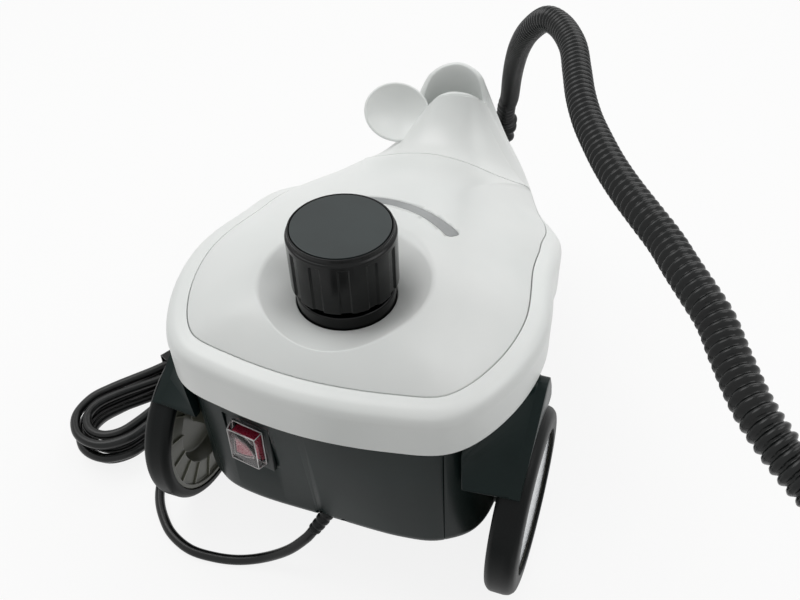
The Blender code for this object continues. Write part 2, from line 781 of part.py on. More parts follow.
def top_cover():
    edge = cover_edge(SPLIT)
    out = np.linalg.norm(edge[:, :2], axis=1)
    way = edge[:, :2] / out[:, None]
    rows = [edge]
    for share in (0.85, 0.68, 0.5):
        reach = DISH_RADIUS + (out - DISH_RADIUS) * (share - 0.4) / 0.6
        rows.append(np.column_stack([way * reach[:, None], reach]))
    rows.append(np.column_stack([way * DISH_RADIUS, np.full(len(edge), DISH_RADIUS)]))
    for row in rows[1:]:
        row[:, 2] = CROWN - (CROWN - edge[:, 2]) * (row[:, 2] / out) ** CROWN_POWER
    floor = np.column_stack([way * DISH_HOLE, np.full(len(edge), DISH_FLOOR)])
    rows.append(floor)
    count = len(edge)
    faces = []
    for row in range(len(rows) - 1):
        a, b = row * count, (row + 1) * count
        faces += [(a + i, a + (i + 1) % count, b + (i + 1) % count, b + i) for i in range(count)]
    mesh = bpy.data.meshes.new("top_cover")
    mesh.from_pydata([tuple(p) for row in rows for p in row], [], faces)
    mesh.shade_smooth()
    cover = place("top_cover", mesh, "white_shell")
    thick = cover.modifiers.new("Wall", "SOLIDIFY")
    thick.thickness = SHELL_WALL
    thick.offset = -1.0
    cut(cover, lens_solid("lens_slot", GAP, OVERRUN))
    return cover


def cover_height(x, y):
    """The crown's height over a place in plan."""
    edge = cover_edge(SPLIT)
    way = np.arctan2(edge[:, 0], edge[:, 1])
    order = np.argsort(way)
    out = np.linalg.norm(edge[:, :2], axis=1)
    here = math.atan2(x, y)
    reach = np.interp(here, way[order], out[order], period=2 * math.pi)
    rim = np.interp(here, way[order], edge[order, 2], period=2 * math.pi)
    return CROWN - (CROWN - rim) * (math.hypot(x, y) / reach) ** CROWN_POWER


def lens_solid(name, grow, over, material=None):
    """The bent window: a bar along an arc, with narrowed ends, just under the crown."""
    half = math.radians(LENS_HALF_ANGLE)
    loops = []
    tip = half + (LENS_WIDTH / 2 + grow) / LENS_RADIUS
    for turn, share in [(-tip, LENS_TIP)] + [(a, 1) for a in np.linspace(-half, half, 13)] + [
            (tip, LENS_TIP)]:
        width = LENS_WIDTH / 2 * share * (1 + LENS_SPREAD * (turn / half) ** 2) + grow
        loop = []
        for side, up in ((-1, 0), (1, 0), (1, 1), (-1, 1)):
            reach = LENS_RADIUS + side * width
            x, y = reach * math.sin(turn), reach * math.cos(turn)
            z = cover_height(x, y) - GAP + (over if up else -LENS_DEPTH - over)
            loop.append((x, y, z))
        loops.append(loop)
    return loft(name, loops, material)


# Housing, rear panel and base plate

def housing_foot(distance, height):
    return level(HOUSING_FOOT_HALF, HOUSING_FOOT_REAR, HOUSING_FOOT_NOSE, distance, height, False,
                 FOOT_SHARES)


def housing_top(distance, height):
    return level(HOUSING_TOP_HALF, HOUSING_TOP_REAR, HOUSING_TOP_NOSE, distance, height, True,
                 TOP_SHARES)


def housing_skin(grow):
    """The housing's outer levels, foot to lip, grown outwards."""
    lip = SHELL_WALL + GAP
    shelf = HOUSING_SHOULDER + FLANGE_RISE - SKIRT_BOTTOM
    low = housing_foot(-grow, HOUSING_FOOT + FOOT_BEVEL - grow)
    high = housing_top(-grow, HOUSING_SHOULDER - grow)
    return [
        housing_foot(FOOT_BEVEL - grow, HOUSING_FOOT - grow),
        low, low + (high - low) / 3, high + (low - high) / 3, high,
        shell_level(lip, shelf - grow),
        shell_level(lip, shelf + FLANGE_LIP),
    ]


def housing_inner():
    """The housing's inner levels, lip to foot."""
    lip = SHELL_WALL + GAP + HOUSING_WALL
    shelf = HOUSING_SHOULDER + FLANGE_RISE - SKIRT_BOTTOM
    ledge = FOOT_BEVEL + FOOT_LEDGE
    return [
        shell_level(lip, shelf + FLANGE_LIP),
        shell_level(lip, shelf + HOUSING_WALL),
        housing_top(HOUSING_WALL, HOUSING_SHOULDER + HOUSING_WALL * 0.8),
        housing_foot(HOUSING_WALL, HOUSING_FOOT + FOOT_BEVEL + ledge),
        housing_foot(ledge, HOUSING_FOOT + FOOT_BEVEL),
        housing_foot(ledge, HOUSING_FOOT),
    ]


def wall_spot(x, z):
    """The rear wall's outer surface at one x and height."""
    foot = housing_foot(0, 0)[:, :2]
    top = housing_top(0, 0)[:, :2]
    share = (z - HOUSING_FOOT - FOOT_BEVEL) / (HOUSING_SHOULDER - HOUSING_FOOT - FOOT_BEVEL)
    line = foot + (top - foot) * share
    rear = line[line[:, 1] < 0]
    order = np.argsort(rear[:, 0])
    return float(np.interp(x, rear[order, 0], rear[order, 1]))


def panel_box(name, grow):
    depth = PANEL_FRONT - BODY_REAR + 2 * GUN_HALF
    bottom = HOUSING_FOOT - OVERRUN
    size = (2 * (PANEL_HALF + grow), depth, HOUSING_SHOULDER + grow - ARCH_DROP - bottom)
    centre = (0, PANEL_FRONT + grow - depth / 2, bottom + size[2] / 2)
    return box(name, size, centre)


def housing():
    loops = housing_skin(0) + housing_inner()
    shell = loft("lower_housing", loops, "black_shell", ring=True)
    panel = loft("rear_panel", loops, "black_shell", ring=True)
    cut(shell, panel_box("panel_opening", GAP), side_bores())
    boot_way = Vector(BOOT_POINTS[2]) - Vector(BOOT_POINTS[1])
    hole = rod("boot_hole", BOOT_HOLE, 6 * BOOT_RADIUS, BOOT_POINTS[1])
    hole.rotation_euler = boot_way.to_track_quat("Z", "Y").to_euler()
    cut(shell, hole)
    keep = panel.modifiers.new("Keep", "BOOLEAN")
    keep.operation = "INTERSECT"
    keep.object = panel_box("panel_block", 0)
    opening = box("switch_opening", (BEZEL_BODY[0] + 2 * GAP, 4 * BEZEL_BODY[1], BEZEL_BODY[2] + 2 * GAP), (0, 0, 0))
    opening.matrix_world = SWITCH_PLACE
    relief_way = Vector(RELIEF_POINTS[3]) - Vector(RELIEF_POINTS[1])
    exit_hole = rod("relief_hole", RELIEF_RADIUS + GAP, 4 * FORK_RADIUS, RELIEF_POINTS[2])
    exit_hole.rotation_euler = relief_way.to_track_quat("Z", "Y").to_euler()
    cut(panel, opening, exit_hole)
    ledge = FOOT_BEVEL + FOOT_LEDGE + GAP
    loft("base_plate", [
        housing_foot(ledge, HOUSING_FOOT), housing_foot(ledge, HOUSING_FOOT + BASE_WALL),
    ], "black_shell")


def side_bores():
    return rod("bush_bore", BUSH_RADIUS + GAP, 2 * BODY_HALF, (0, WHEEL_Y, WHEEL_RADIUS), "X")


# Wheel arches

def arch_loop(shares, x):
    loop = []
    for y_share, z_share in shares:
        y = WHEEL_Y + y_share * WHEEL_RADIUS
        z = min(z_share * WHEEL_RADIUS, HOUSING_SHOULDER - ARCH_DROP - float(fall(y)))
        loop.append((x, y, z))
    return loop


def wheel_arch(side, hand):
    lip = ARCH_OUTER - (ARCH_OUTER - ARCH_INNER) * 0.18
    outer = arch_loop(ARCH_OUTER_SHARES, side * ARCH_OUTER)
    inner = arch_loop(ARCH_INNER_SHARES, side * ARCH_INNER)
    rim = [(side * lip, y, z) for _, y, z in outer]
    arch = loft(f"wheel_arch_{hand}", [inner, rim, outer], "black_shell")
    well_start = WHEEL_INNER - ARCH_SIDE_CLEARANCE
    well = rod(
        f"wheel_well_{hand}", WHEEL_RADIUS + ARCH_CLEARANCE, 2 * WHEEL_WIDTH,
        (side * (well_start + WHEEL_WIDTH), WHEEL_Y, WHEEL_RADIUS), "X", sides=48,
    )
    core = loft(f"housing_core_{hand}", housing_skin(2 * GAP))
    cut(arch, well, core)


# Wheels and axle

def wheel(side, hand):
    centre = (side * WHEEL_INNER, WHEEL_Y, WHEEL_RADIUS)
    turn = (0.0, side * math.pi / 2, 0.0)
    width, edge, outer = WHEEL_WIDTH, TYRE_ROUND, TYRE_SHOULDER
    tyre_inner, web = HUB_RADIUS + GAP, HUB_CAP_RADIUS + GAP
    tyre = turned(f"tyre_{hand}", [
        (tyre_inner, HUB_DEPTH + GAP), (web, HUB_DEPTH + GAP), (web, width),
        (WHEEL_RADIUS - outer, width), (WHEEL_RADIUS - outer * 0.5, width - outer * 0.13),
        (WHEEL_RADIUS - outer * 0.13, width - outer * 0.5), (WHEEL_RADIUS, width - outer),
        (WHEEL_RADIUS, edge), (WHEEL_RADIUS - edge * 0.3, edge * 0.3),
        (WHEEL_RADIUS - edge, 0.0), (tyre_inner, 0.0),
    ], "tyre", steps=40, ring=True)
    bore = AXLE_RADIUS + BEARING_PLAY
    rim_inner = HUB_RADIUS - HUB_RIM
    floor = CUP_DEPTH + DISC_WALL
    hub = turned(f"wheel_hub_{hand}", [
        (rim_inner, HUB_DEPTH), (HUB_RADIUS, HUB_DEPTH), (HUB_RADIUS, HUB_EDGE), (rim_inner, HUB_EDGE),
        (rim_inner, DISC_INSET), (CUP_RADIUS, DISC_INSET), (CUP_FLOOR_RADIUS, CUP_DEPTH),
        (BOSS_RADIUS, CUP_DEPTH), (BOSS_RADIUS, HUB_EDGE), (bore, HUB_EDGE), (bore, floor),
        (CUP_FLOOR_RADIUS, floor), (CUP_RADIUS + DISC_WALL, DISC_INSET + DISC_WALL),
        (rim_inner, DISC_INSET + DISC_WALL),
    ], "hub", steps=32, ring=True)
    bm = bmesh.new()
    for k in range(RIB_COUNT):
        made = bmesh.ops.create_cube(bm, size=1.0)["verts"]
        length = rim_inner - CUP_RADIUS
        bmesh.ops.scale(bm, vec=(length, RIB_WALL, RIB_RISE * 2), verts=made)
        bmesh.ops.translate(bm, vec=(CUP_RADIUS + length / 2, 0, DISC_INSET), verts=made)
        bmesh.ops.rotate(bm, matrix=Matrix.Rotation(2 * math.pi * k / RIB_COUNT, 3, "Z"), verts=made)
    ribs = from_bmesh(f"hub_ribs_{hand}", bm, smooth=False)
    join(hub, ribs)
    cap = turned(f"hub_cap_{hand}", [
        (0.0, HUB_DEPTH + GAP + HUB_CAP_WALL), (HUB_CAP_RADIUS, HUB_DEPTH + GAP + HUB_CAP_WALL),
        (HUB_CAP_RADIUS, HUB_DEPTH + GAP), (0.0, HUB_DEPTH + GAP),
    ], "aluminium", steps=32)
    for obj in (tyre, hub, ribs, cap):
        obj.location = centre
        obj.rotation_euler = turn
    clip_inner = AXLE_RADIUS + BEARING_PLAY
    clip = turned(f"axle_clip_{hand}", [
        (clip_inner, floor + GAP + CLIP_WALL), (CLIP_RADIUS, floor + GAP + CLIP_WALL),
        (CLIP_RADIUS, floor + GAP), (clip_inner, floor + GAP),
    ], "steel", steps=24, ring=True)
    bush_inner = AXLE_RADIUS + BEARING_PLAY
    bush = turned(f"axle_bush_{hand}", [
        (bush_inner, -GAP), (BUSH_RADIUS, -GAP), (BUSH_RADIUS, BUSH_START - WHEEL_INNER),
        (bush_inner, BUSH_START - WHEEL_INNER),
    ], "black_shell", steps=24, ring=True)
    for obj in (clip, bush):
        obj.location = centre
        obj.rotation_euler = turn


def caster():
    plate_top = HOUSING_FOOT - GAP
    plate_bottom = plate_top - CASTER_PLATE[2]
    plate = box(
        "caster_plate", CASTER_PLATE, (0, CASTER_Y, plate_top - CASTER_PLATE[2] / 2), "steel", 0.0,
    )
    stem_hole = rod("stem_hole", FORK_STEM + GAP, 4 * CASTER_PLATE[2], (0, CASTER_Y, plate_top))
    cut(plate, stem_hole)
    fork_top = plate_bottom - GAP
    crown = rod("caster_fork", FORK_RADIUS, FORK_TOP, (0, CASTER_Y, fork_top - FORK_TOP / 2),
                "Z", "black_shell")
    stem = rod("fork_stem", FORK_STEM, CASTER_PLATE[2] + FORK_TOP / 2,
               (0, CASTER_Y, fork_top + CASTER_PLATE[2] / 2 - FORK_TOP / 4), sides=16)
    wheel_y = CASTER_Y - CASTER_TRAIL
    low = CASTER_RADIUS - 2 * CASTER_PIN
    cheeks = []
    for side, hand in ((1, "right"), (-1, "left")):
        x = side * (CASTER_WIDTH / 2 + GAP + FORK_WALL / 2)
        cheeks.append(box(f"fork_cheek_{hand}", (FORK_WALL, FORK_CHEEK, fork_top - FORK_TOP / 2 - low),
                          (x, wheel_y + CASTER_PIN, (fork_top - FORK_TOP / 2 + low) / 2)))
    join(crown, stem, *cheeks)
    pin_way = rod("pin_way", CASTER_PIN + GAP, 4 * CASTER_WIDTH, (0, wheel_y, CASTER_RADIUS), "X",
                  sides=16)
    cut(crown, pin_way)
    rod("caster_pin", CASTER_PIN, CASTER_WIDTH + 2 * FORK_WALL, (0, wheel_y, CASTER_RADIUS), "X",
        "steel", 16)
    bore = CASTER_PIN + GAP
    roller = turned("caster_wheel", [
        (bore, CASTER_WIDTH / 2), (CASTER_RADIUS - CASTER_PIN, CASTER_WIDTH / 2),
        (CASTER_RADIUS, CASTER_WIDTH / 4), (CASTER_RADIUS, -CASTER_WIDTH / 4),
        (CASTER_RADIUS - CASTER_PIN, -CASTER_WIDTH / 2), (bore, -CASTER_WIDTH / 2),
    ], "tyre", steps=16, ring=True)
    roller.location = (0, wheel_y, CASTER_RADIUS)
    roller.rotation_euler = (0, math.pi / 2, 0)


# Boiler and what is round it

def boiler():
    r, top, low, rnd, wall = BOILER_RADIUS, BOILER_TOP, BOILER_BOTTOM, BOILER_ROUND, BOILER_WALL
    outer, inner = [], []
    for a in (0, 30, 60, 90):
        s, c = math.sin(math.radians(a)), math.cos(math.radians(a))
        outer.append((r - rnd + rnd * s, top - rnd + rnd * c))
        inner.append((r - rnd + (rnd - wall) * s, top - rnd + (rnd - wall) * c))
    lower = [(x, top + low - z) for x, z in outer[::-1]]
    lower_inner = [(x, top + low - z) for x, z in inner[::-1]]
    neck_top = COLLAR_TOP - PLUG_FLANGE
    turned("boiler_tank", [(0.0, low + wall)] + lower_inner[::-1] + inner[::-1] + [
        (FILLER_BORE, top - wall), (FILLER_BORE, neck_top), (FILLER_OUTER, neck_top), (FILLER_OUTER, top),
    ] + outer + lower + [(0.0, low)], "steel", steps=24)
    stand_low = HOUSING_FOOT + BASE_WALL + GAP
    stand = turned("boiler_stand", [
        (STAND_RADIUS - STAND_WALL, low - GAP), (STAND_RADIUS, low - GAP),
        (STAND_RADIUS, stand_low), (STAND_RADIUS - STAND_WALL, stand_low),
    ], "steel", steps=24, ring=True)
    cut(stand, rod("axle_way", BUSH_RADIUS, 4 * STAND_RADIUS, (0, WHEEL_Y, WHEEL_RADIUS), "X", sides=16))
    middle = low - GAP - HEATER_TUBE
    turned("heating_element", [
        (HEATER_RADIUS + HEATER_TUBE * math.cos(a), middle + HEATER_TUBE * math.sin(a))
        for a in np.linspace(math.pi / 2, -1.5 * math.pi, 6, endpoint=False)
    ], "steel", steps=20, ring=True)
    for name, side in (("thermostat", 1), ("thermal_cutout", -1)):
        rod(name, SENSOR_RADIUS, SENSOR_DEPTH,
            (side * (r + GAP + SENSOR_DEPTH / 2), 0, SENSOR_HEIGHT), "X", "aluminium", 16)
    valve_rear, valve_front = VALVE_Y - VALVE_SIZE[1] / 2, VALVE_Y + VALVE_SIZE[1] / 2
    box("steam_valve", VALVE_SIZE, (0, VALVE_Y, PIPE_HEIGHT), "brass", 0.0)
    tube("steam_pipe", [(0, r + GAP, PIPE_HEIGHT), (0, valve_rear - GAP, PIPE_HEIGHT)],
         PIPE_RADIUS, "aluminium", 1)
    first, second = Vector(BOOT_POINTS[0]), Vector(BOOT_POINTS[1])
    back = (first - second).normalized() * PIPE_RADIUS
    end = first + back * 0.2
    tube("outlet_pipe", smooth([
        (0, valve_front + GAP, PIPE_HEIGHT), (0, valve_front + 4 * PIPE_RADIUS, PIPE_HEIGHT),
        (0, (valve_front + end.y) / 2, (PIPE_HEIGHT + end.z) / 2), end + back * 5, end + back,
    ], 4 * PIPE_RADIUS), PIPE_RADIUS, "rubber", 1)
    box("terminal_block", TERMINAL_SIZE,
        (TERMINAL_X, TERMINAL_Y, HOUSING_FOOT + BASE_WALL + GAP + TERMINAL_SIZE[2] / 2), "rubber")


def filler():
    turned("filler_collar", [
        (FILLER_OUTER + GAP, COLLAR_TOP), (COLLAR_RADIUS, COLLAR_TOP),
        (COLLAR_RADIUS, COLLAR_BOTTOM - SHELL_WALL), (FILLER_OUTER + GAP, COLLAR_BOTTOM - SHELL_WALL),
    ], "cap_black", steps=32, ring=True)
    seal_low = COLLAR_TOP - PLUG_FLANGE + GAP
    turned("cap_seal", [
        (PLUG_RADIUS + GAP, seal_low + SEAL_THICK), (SEAL_RADIUS, seal_low + SEAL_THICK),
        (SEAL_RADIUS, seal_low), (PLUG_RADIUS + GAP, seal_low),
    ], "silicone", steps=24, ring=True)
    flange = seal_low + SEAL_THICK + GAP
    turned("cap_plug", [
        (0.0, CAP_CEILING - GAP), (PLUG_CORE, CAP_CEILING - GAP), (PLUG_CORE, flange + PLUG_FLANGE),
        (SEAL_RADIUS, flange + PLUG_FLANGE), (SEAL_RADIUS, flange), (PLUG_RADIUS, flange),
        (PLUG_RADIUS, PLUG_BOTTOM), (0.0, PLUG_BOTTOM),
    ], "brass", steps=24)


def cap():
    """The fluted cap, hollow from below, with a recess for its disc."""
    around = FLUTES * 4
    shares = (0, 0, 1, 1)
    pitch = 2 * math.pi / FLUTES
    angle = np.array([(k + share) * pitch for k in range(FLUTES) for share in FLUTE_SHARES])

    def ring(radius, z, depth=0.0):
        r = radius - depth * np.array([shares[i % 4] for i in range(around)])
        return np.column_stack([r * np.cos(angle), r * np.sin(angle), np.full(around, z)])

    fall_back = CAP_ROUND / 2
    groove = CAP_TOP - 2 * CAP_ROUND
    recess = CAP_TOP + DISC_PROUD - DISC_THICK - GAP
    inner = CAP_RADIUS - CAP_WALL
    loft("cap_body", [
        ring(DISC_RADIUS + 2 * GAP, recess), ring(DISC_RADIUS + 2 * GAP, CAP_TOP),
        ring(CAP_RADIUS - CAP_ROUND, CAP_TOP), ring(CAP_RADIUS - CAP_ROUND, groove),
        ring(CAP_RADIUS, groove - fall_back), ring(CAP_RADIUS, groove - 2 * CAP_ROUND),
        ring(CAP_RADIUS, groove - 2 * CAP_ROUND - fall_back, FLUTE_DEPTH),
        ring(CAP_RADIUS, CAP_BOTTOM + CAP_ROUND, FLUTE_DEPTH),
        ring(CAP_RADIUS - FLUTE_DEPTH - fall_back, CAP_BOTTOM),
        ring(inner, CAP_BOTTOM), ring(inner, CAP_CEILING),
    ], "cap_black")
    turned("cap_disc", [
        (0.0, CAP_TOP + DISC_PROUD), (DISC_RADIUS, CAP_TOP + DISC_PROUD),
        (DISC_RADIUS, CAP_TOP + DISC_PROUD - DISC_THICK), (0.0, CAP_TOP + DISC_PROUD - DISC_THICK),
    ], "cap_grey", steps=40)


# Switch

def switch_place():
    """The switch's axes: its X along the wall, its Y into the housing."""
    spot = Matrix.Translation((SWITCH_X, wall_spot(SWITCH_X, SWITCH_Z), SWITCH_Z))
    yaw = Matrix.Rotation(math.radians(SWITCH_YAW), 4, "Z")
    tilt = Matrix.Rotation(math.radians(SWITCH_TILT), 4, "X")
    return spot @ yaw @ tilt


def switch():
    width, thick, height = BEZEL_SIZE
    wall_seat = BEZEL_SEAT
    frame = box("switch_bezel", BEZEL_SIZE, (0, 0, 0), "rubber")
    frame.data.transform(Matrix.Translation((0, -wall_seat - thick / 2, 0)))
    body = box("bezel_body", BEZEL_BODY, (0, 0, 0))
    body.data.transform(Matrix.Translation((0, BEZEL_BODY[1] / 2 - wall_seat - thick / 2, 0)))
    hole = box("bezel_hole", (BEZEL_HOLE[0], BEZEL_BODY[1], BEZEL_HOLE[1]), (0, 0, 0))
    hole.data.transform(Matrix.Translation((0, -wall_seat - thick, 0)))
    for obj in (frame, body, hole):
        obj.matrix_world = SWITCH_PLACE
    join(frame, body)
    cut(frame, hole)
    pivot = SWITCH_PLACE @ Matrix.Translation((0, ROCKER_PIVOT - wall_seat - thick, 0))
    loops = [[(x, y * ROCKER_DEPTH - ROCKER_PIVOT, z * ROCKER_HEIGHT) for z, y in ROCKER_SHARES]
             for x in (-ROCKER_WIDTH / 2, ROCKER_WIDTH / 2)]
    rocker = loft("switch_rocker", loops, "rocker_red")
    rocker.matrix_world = pivot @ Matrix.Rotation(math.radians(ROCKER_REST), 4, "X")
    front = -wall_seat - thick - GAP
    wide, tall = COVER_BASE
    narrow, short = COVER_FACE

    def face(w, h, y):
        return [(s * w / 2, y, t * h / 2) for s, t in ((-1, -1), (1, -1), (1, 1), (-1, 1))]

    lid = loft("switch_cover", [
        face(wide, tall, front), face(narrow, short, front - COVER_PROUD),
    ], "clear_cover")
    inside = loft("cover_hollow", [
        face(wide - 2 * COVER_WALL, tall - 2 * COVER_WALL, front + GAP),
        face(narrow - 2 * COVER_WALL, short - 2 * COVER_WALL, front - COVER_PROUD + COVER_WALL),
    ])
    lid.matrix_world = SWITCH_PLACE
    inside.matrix_world = SWITCH_PLACE
    cut(lid, inside)


# Cords and hoses

def smooth(points, step, before=None, after=None):
    """Points about a step apart on the open Catmull-Rom curve through points."""
    points = np.array([tuple(p) for p in points], float)
    padded = np.vstack([
        2 * points[0] - points[1] if before is None else before, points,
        2 * points[-1] - points[-2] if after is None else after,
    ])
    t = np.linspace(0, 1, 24, endpoint=False)[:, None]
    fine = []
    for i in range(len(points) - 1):
        p0, p1, p2, p3 = padded[i:i + 4]
        fine.append(0.5 * (
            2 * p1 + (p2 - p0) * t + (2 * p0 - 5 * p1 + 4 * p2 - p3) * t ** 2
            + (3 * p1 - p0 - 3 * p2 + p3) * t ** 3
        ))
    fine = np.vstack(fine + [points[-1:]])
    along = np.concatenate([[0], np.cumsum(np.linalg.norm(np.diff(fine, axis=0), axis=1))])
    at = np.linspace(0, along[-1], max(2, round(along[-1] / step)) + 1)
    return np.column_stack([np.interp(at, along, fine[:, k]) for k in range(3)])


def led(route, step):
    """A smooth line whose first and last stretches, between given points, are straight."""
    route = [np.array(p, float) for p in route]
    middle = smooth(route[1:-1], step, route[0], route[-1])
    ends = []
    for a, b in ((route[0], route[1]), (route[-2], route[-1])):
        count = max(1, round(float(np.linalg.norm(b - a)) / step))
        ends.append(np.array([a + (b - a) * k / count for k in range(count + 1)]))
    return np.vstack([ends[0][:-1], middle, ends[1][1:]])


def length_of(points):
    points = np.array([tuple(p) for p in points], float)
    return float(np.linalg.norm(np.diff(points, axis=0), axis=1).sum())


def last_way(points):
    way = points[-1] - points[-2]
    return way / np.linalg.norm(way)


def tube(name, points, radius, material=None, resolution=2, shares=None):
    """A filled tube on straight stretches between points, as a mesh."""
    curve = bpy.data.curves.new(name, "CURVE")
    curve.dimensions = "3D"
    curve.bevel_depth = radius
    curve.bevel_resolution = resolution
    curve.use_fill_caps = True
    spline = curve.splines.new("POLY")
    spline.points.add(len(points) - 1)
    for i, point in enumerate(points):
        spline.points[i].co = (*point, 1)
        spline.points[i].radius = 1 if shares is None else shares[i]
    carrier = bpy.data.objects.new(name, curve)
    CUTTERS.objects.link(carrier)
    graph = bpy.context.evaluated_depsgraph_get()
    mesh = bpy.data.meshes.new_from_object(carrier.evaluated_get(graph))
    bpy.data.objects.remove(carrier, do_unlink=True)
    bm = bmesh.new()
    bm.from_mesh(mesh)
    bmesh.ops.remove_doubles(bm, verts=bm.verts, dist=MERGE)
    return from_bmesh(name, bm, material)


def hose_coil_points():
    """The loose coil on the floor, then the lead to the gun's cuff."""
    turns = np.linspace(0, COIL_TURNS, round(LOOP_POINTS * COIL_TURNS) + 1)
    reach = COIL_RADIUS + COIL_GROWTH * turns
    coil = np.column_stack([
        COIL_X + reach * np.cos(2 * math.pi * turns), COIL_Y - reach * np.sin(2 * math.pi * turns),
        np.full(len(turns), HOSE_FLOOR),
    ])
    cuff = gun_point(*GRIP_END, 0) + GRIP_WAY * (CUFF_LENGTH - CUFF_INSET + GAP)
    near = np.array(cuff + GRIP_WAY * 2 * HOSE_RADIUS)
    half_way = (coil[-1] + near) / 2
    half_way[2] = (HOSE_FLOOR + near[2]) / 2
    lead = led([coil[-2], coil[-1], half_way, near, np.array(cuff)], HOSE_STEP)
    first = coil[0] + (0, 2 * HOSE_RADIUS, 0)
    return np.vstack([first, coil[:-1], lead[1:]])


def boot_line():
    return smooth(BOOT_POINTS, length_of(BOOT_POINTS) / (2 * BOOT_RIBS))


def hose_points():
    """The hose's free stretch: up from the boot, over and down to the floor beyond the machine."""
    drop_x = COIL_X + COIL_RADIUS
    straight = 2 * HOSE_RADIUS
    middle = np.array([drop_x, COIL_Y + 2 * straight + GAP, HOSE_FLOOR + DROP_RADIUS])
    bend = [middle + DROP_RADIUS * np.array([0, math.cos(a), -math.sin(a)])
            for a in np.linspace(0, math.pi / 2, 5)[:-1]]
    boot = boot_line()
    way = last_way(boot)
    start = boot[-1] + way * GAP
    end = np.array([drop_x, COIL_Y + straight + GAP, HOSE_FLOOR])
    return [start, start + way * straight] + list(HOSE_POINTS) + bend + [end + (0, straight, 0), end]


def steam_hose():
    route = hose_points()
    points = led(route, HOSE_PITCH / 2)
    shares = [1 if i % 2 else HOSE_ROOT / HOSE_RADIUS for i in range(len(points))]
    hose = tube("steam_hose", points, HOSE_RADIUS, "rubber", 2, shares)
    core = led(route, HOSE_STEP)
    core[0] += last_way(core[1::-1]) * OVERRUN
    core[-1] += last_way(core) * OVERRUN
    cut(hose, tube("hose_bore", core, HOSE_BORE, None, 1))
    boot = boot_line()
    taper = np.linspace(1, BOOT_TIP / BOOT_RADIUS, len(boot))
    rib = BOOT_RIB / BOOT_RADIUS
    shares = [taper[i] - (rib if i % 2 else 0) for i in range(len(boot))]
    tube("hose_boot", boot, BOOT_RADIUS, "rubber", 2, shares)
    coil = hose_coil_points()
    tube("steam_hose_coil", coil, HOSE_RADIUS, "rubber", 1)
    print("hose length", round(length_of(points) + length_of(coil), 3), "ribs", len(points) // 2,
          "coil gap mm", round(1000 * least_gap(coil, HOSE_RADIUS), 2))


def least_gap(points, radius):
    """The least clear space between turns of a tube, on its straight stretches."""
    fine = []
    for a, b in zip(points[:-1], points[1:]):
        fine += [a + (b - a) * t for t in np.arange(SPLITS) / SPLITS]
    fine = np.array(fine)
    along = np.concatenate([[0], np.cumsum(np.linalg.norm(np.diff(fine, axis=0), axis=1))])
    apart = np.linalg.norm(fine[:, None] - fine[None], axis=2)
    apart[np.abs(along[:, None] - along[None]) < 8 * radius] = 1
    return float(apart.min() - 2 * radius)


# Steam gun

def gun_outline(distance):
    shares = np.array(GUN_SHARES)
    at = np.linspace(0, len(shares), GUN_POINTS, endpoint=False)
    loop = catmull(shares, at) * GUN_LENGTH
    return inset(loop, distance)


def gun_place():
    """The gun's axes in the world: on its side, with its rear as far back as the nose is forward."""
    turn = math.radians(GUN_TURN)
    outline = gun_outline(0)
    y = outline[:, 0] * math.sin(turn) + outline[:, 1] * math.cos(turn)
    spot = (GUN_X, -BODY_NOSE - float(y.min()), GUN_HALF)
    return Matrix.Translation(spot) @ Matrix.Rotation(turn, 4, "Z")


def gun_point(u, v, w):
    return GUN_PLACE @ Vector((u, v, w))


def gun_shell(hand, side):
    def loop(distance, w):
        return [(u, v, side * w) for u, v in gun_outline(distance)]

    shell = loft(f"gun_shell_{hand}", [
        loop(GUN_ROUND, GUN_HALF), loop(GUN_ROUND * 0.3, GUN_HALF - GUN_ROUND * 0.3),
        loop(0, GUN_HALF - GUN_ROUND), loop(0, GAP / 2), loop(GUN_WALL, GAP / 2),
        loop(GUN_WALL, GUN_HALF - GUN_ROUND), loop(GUN_ROUND, GUN_HALF - GUN_WALL),
    ], "black_shell")
    shell.matrix_world = GUN_PLACE
    u0, v0, u1, v1 = TRIGGER_SLOT
    slot = box(f"trigger_slot_{hand}", (u1 - u0, v1 - v0, 2 * TRIGGER_HALF + 4 * GAP), (0, 0, 0))
    slot.data.transform(Matrix.Translation(((u0 + u1) / 2, (v0 + v1) / 2, 0)))
    slot.matrix_world = GUN_PLACE
    mouth = rod(f"nozzle_hole_{hand}", NOZZLE_RADIUS + GAP, GUN_LENGTH, (0, 0, 0), "X")
    mouth.data.transform(Matrix.Translation((GUN_LENGTH, 0, 0)))
    mouth.matrix_world = GUN_PLACE
    throat = rod(f"cuff_hole_{hand}", CUFF_RADIUS + GAP, 2 * CUFF_INSET, (0, 0, 0))
    throat.matrix_world = cuff_place()
    cut(shell, slot, mouth, throat)
    if side > 0:
        groove = box("lock_slot", (LOCK_SIZE[0] + 2 * GAP, LOCK_SIZE[1] + LOCK_SLOT + 2 * GAP, 4 * GUN_WALL),
                     (0, 0, 0))
        groove.data.transform(Matrix.Translation((*LOCK_SPOT, GUN_HALF)))
        groove.matrix_world = GUN_PLACE
        cut(shell, groove)


def cuff_place():
    """The cuff's axes: Z out of the grip's end, origin on the grip's end."""
    return Matrix.Translation(gun_point(*GRIP_END, 0)) @ GRIP_WAY.to_track_quat("Z", "Y").to_matrix().to_4x4()


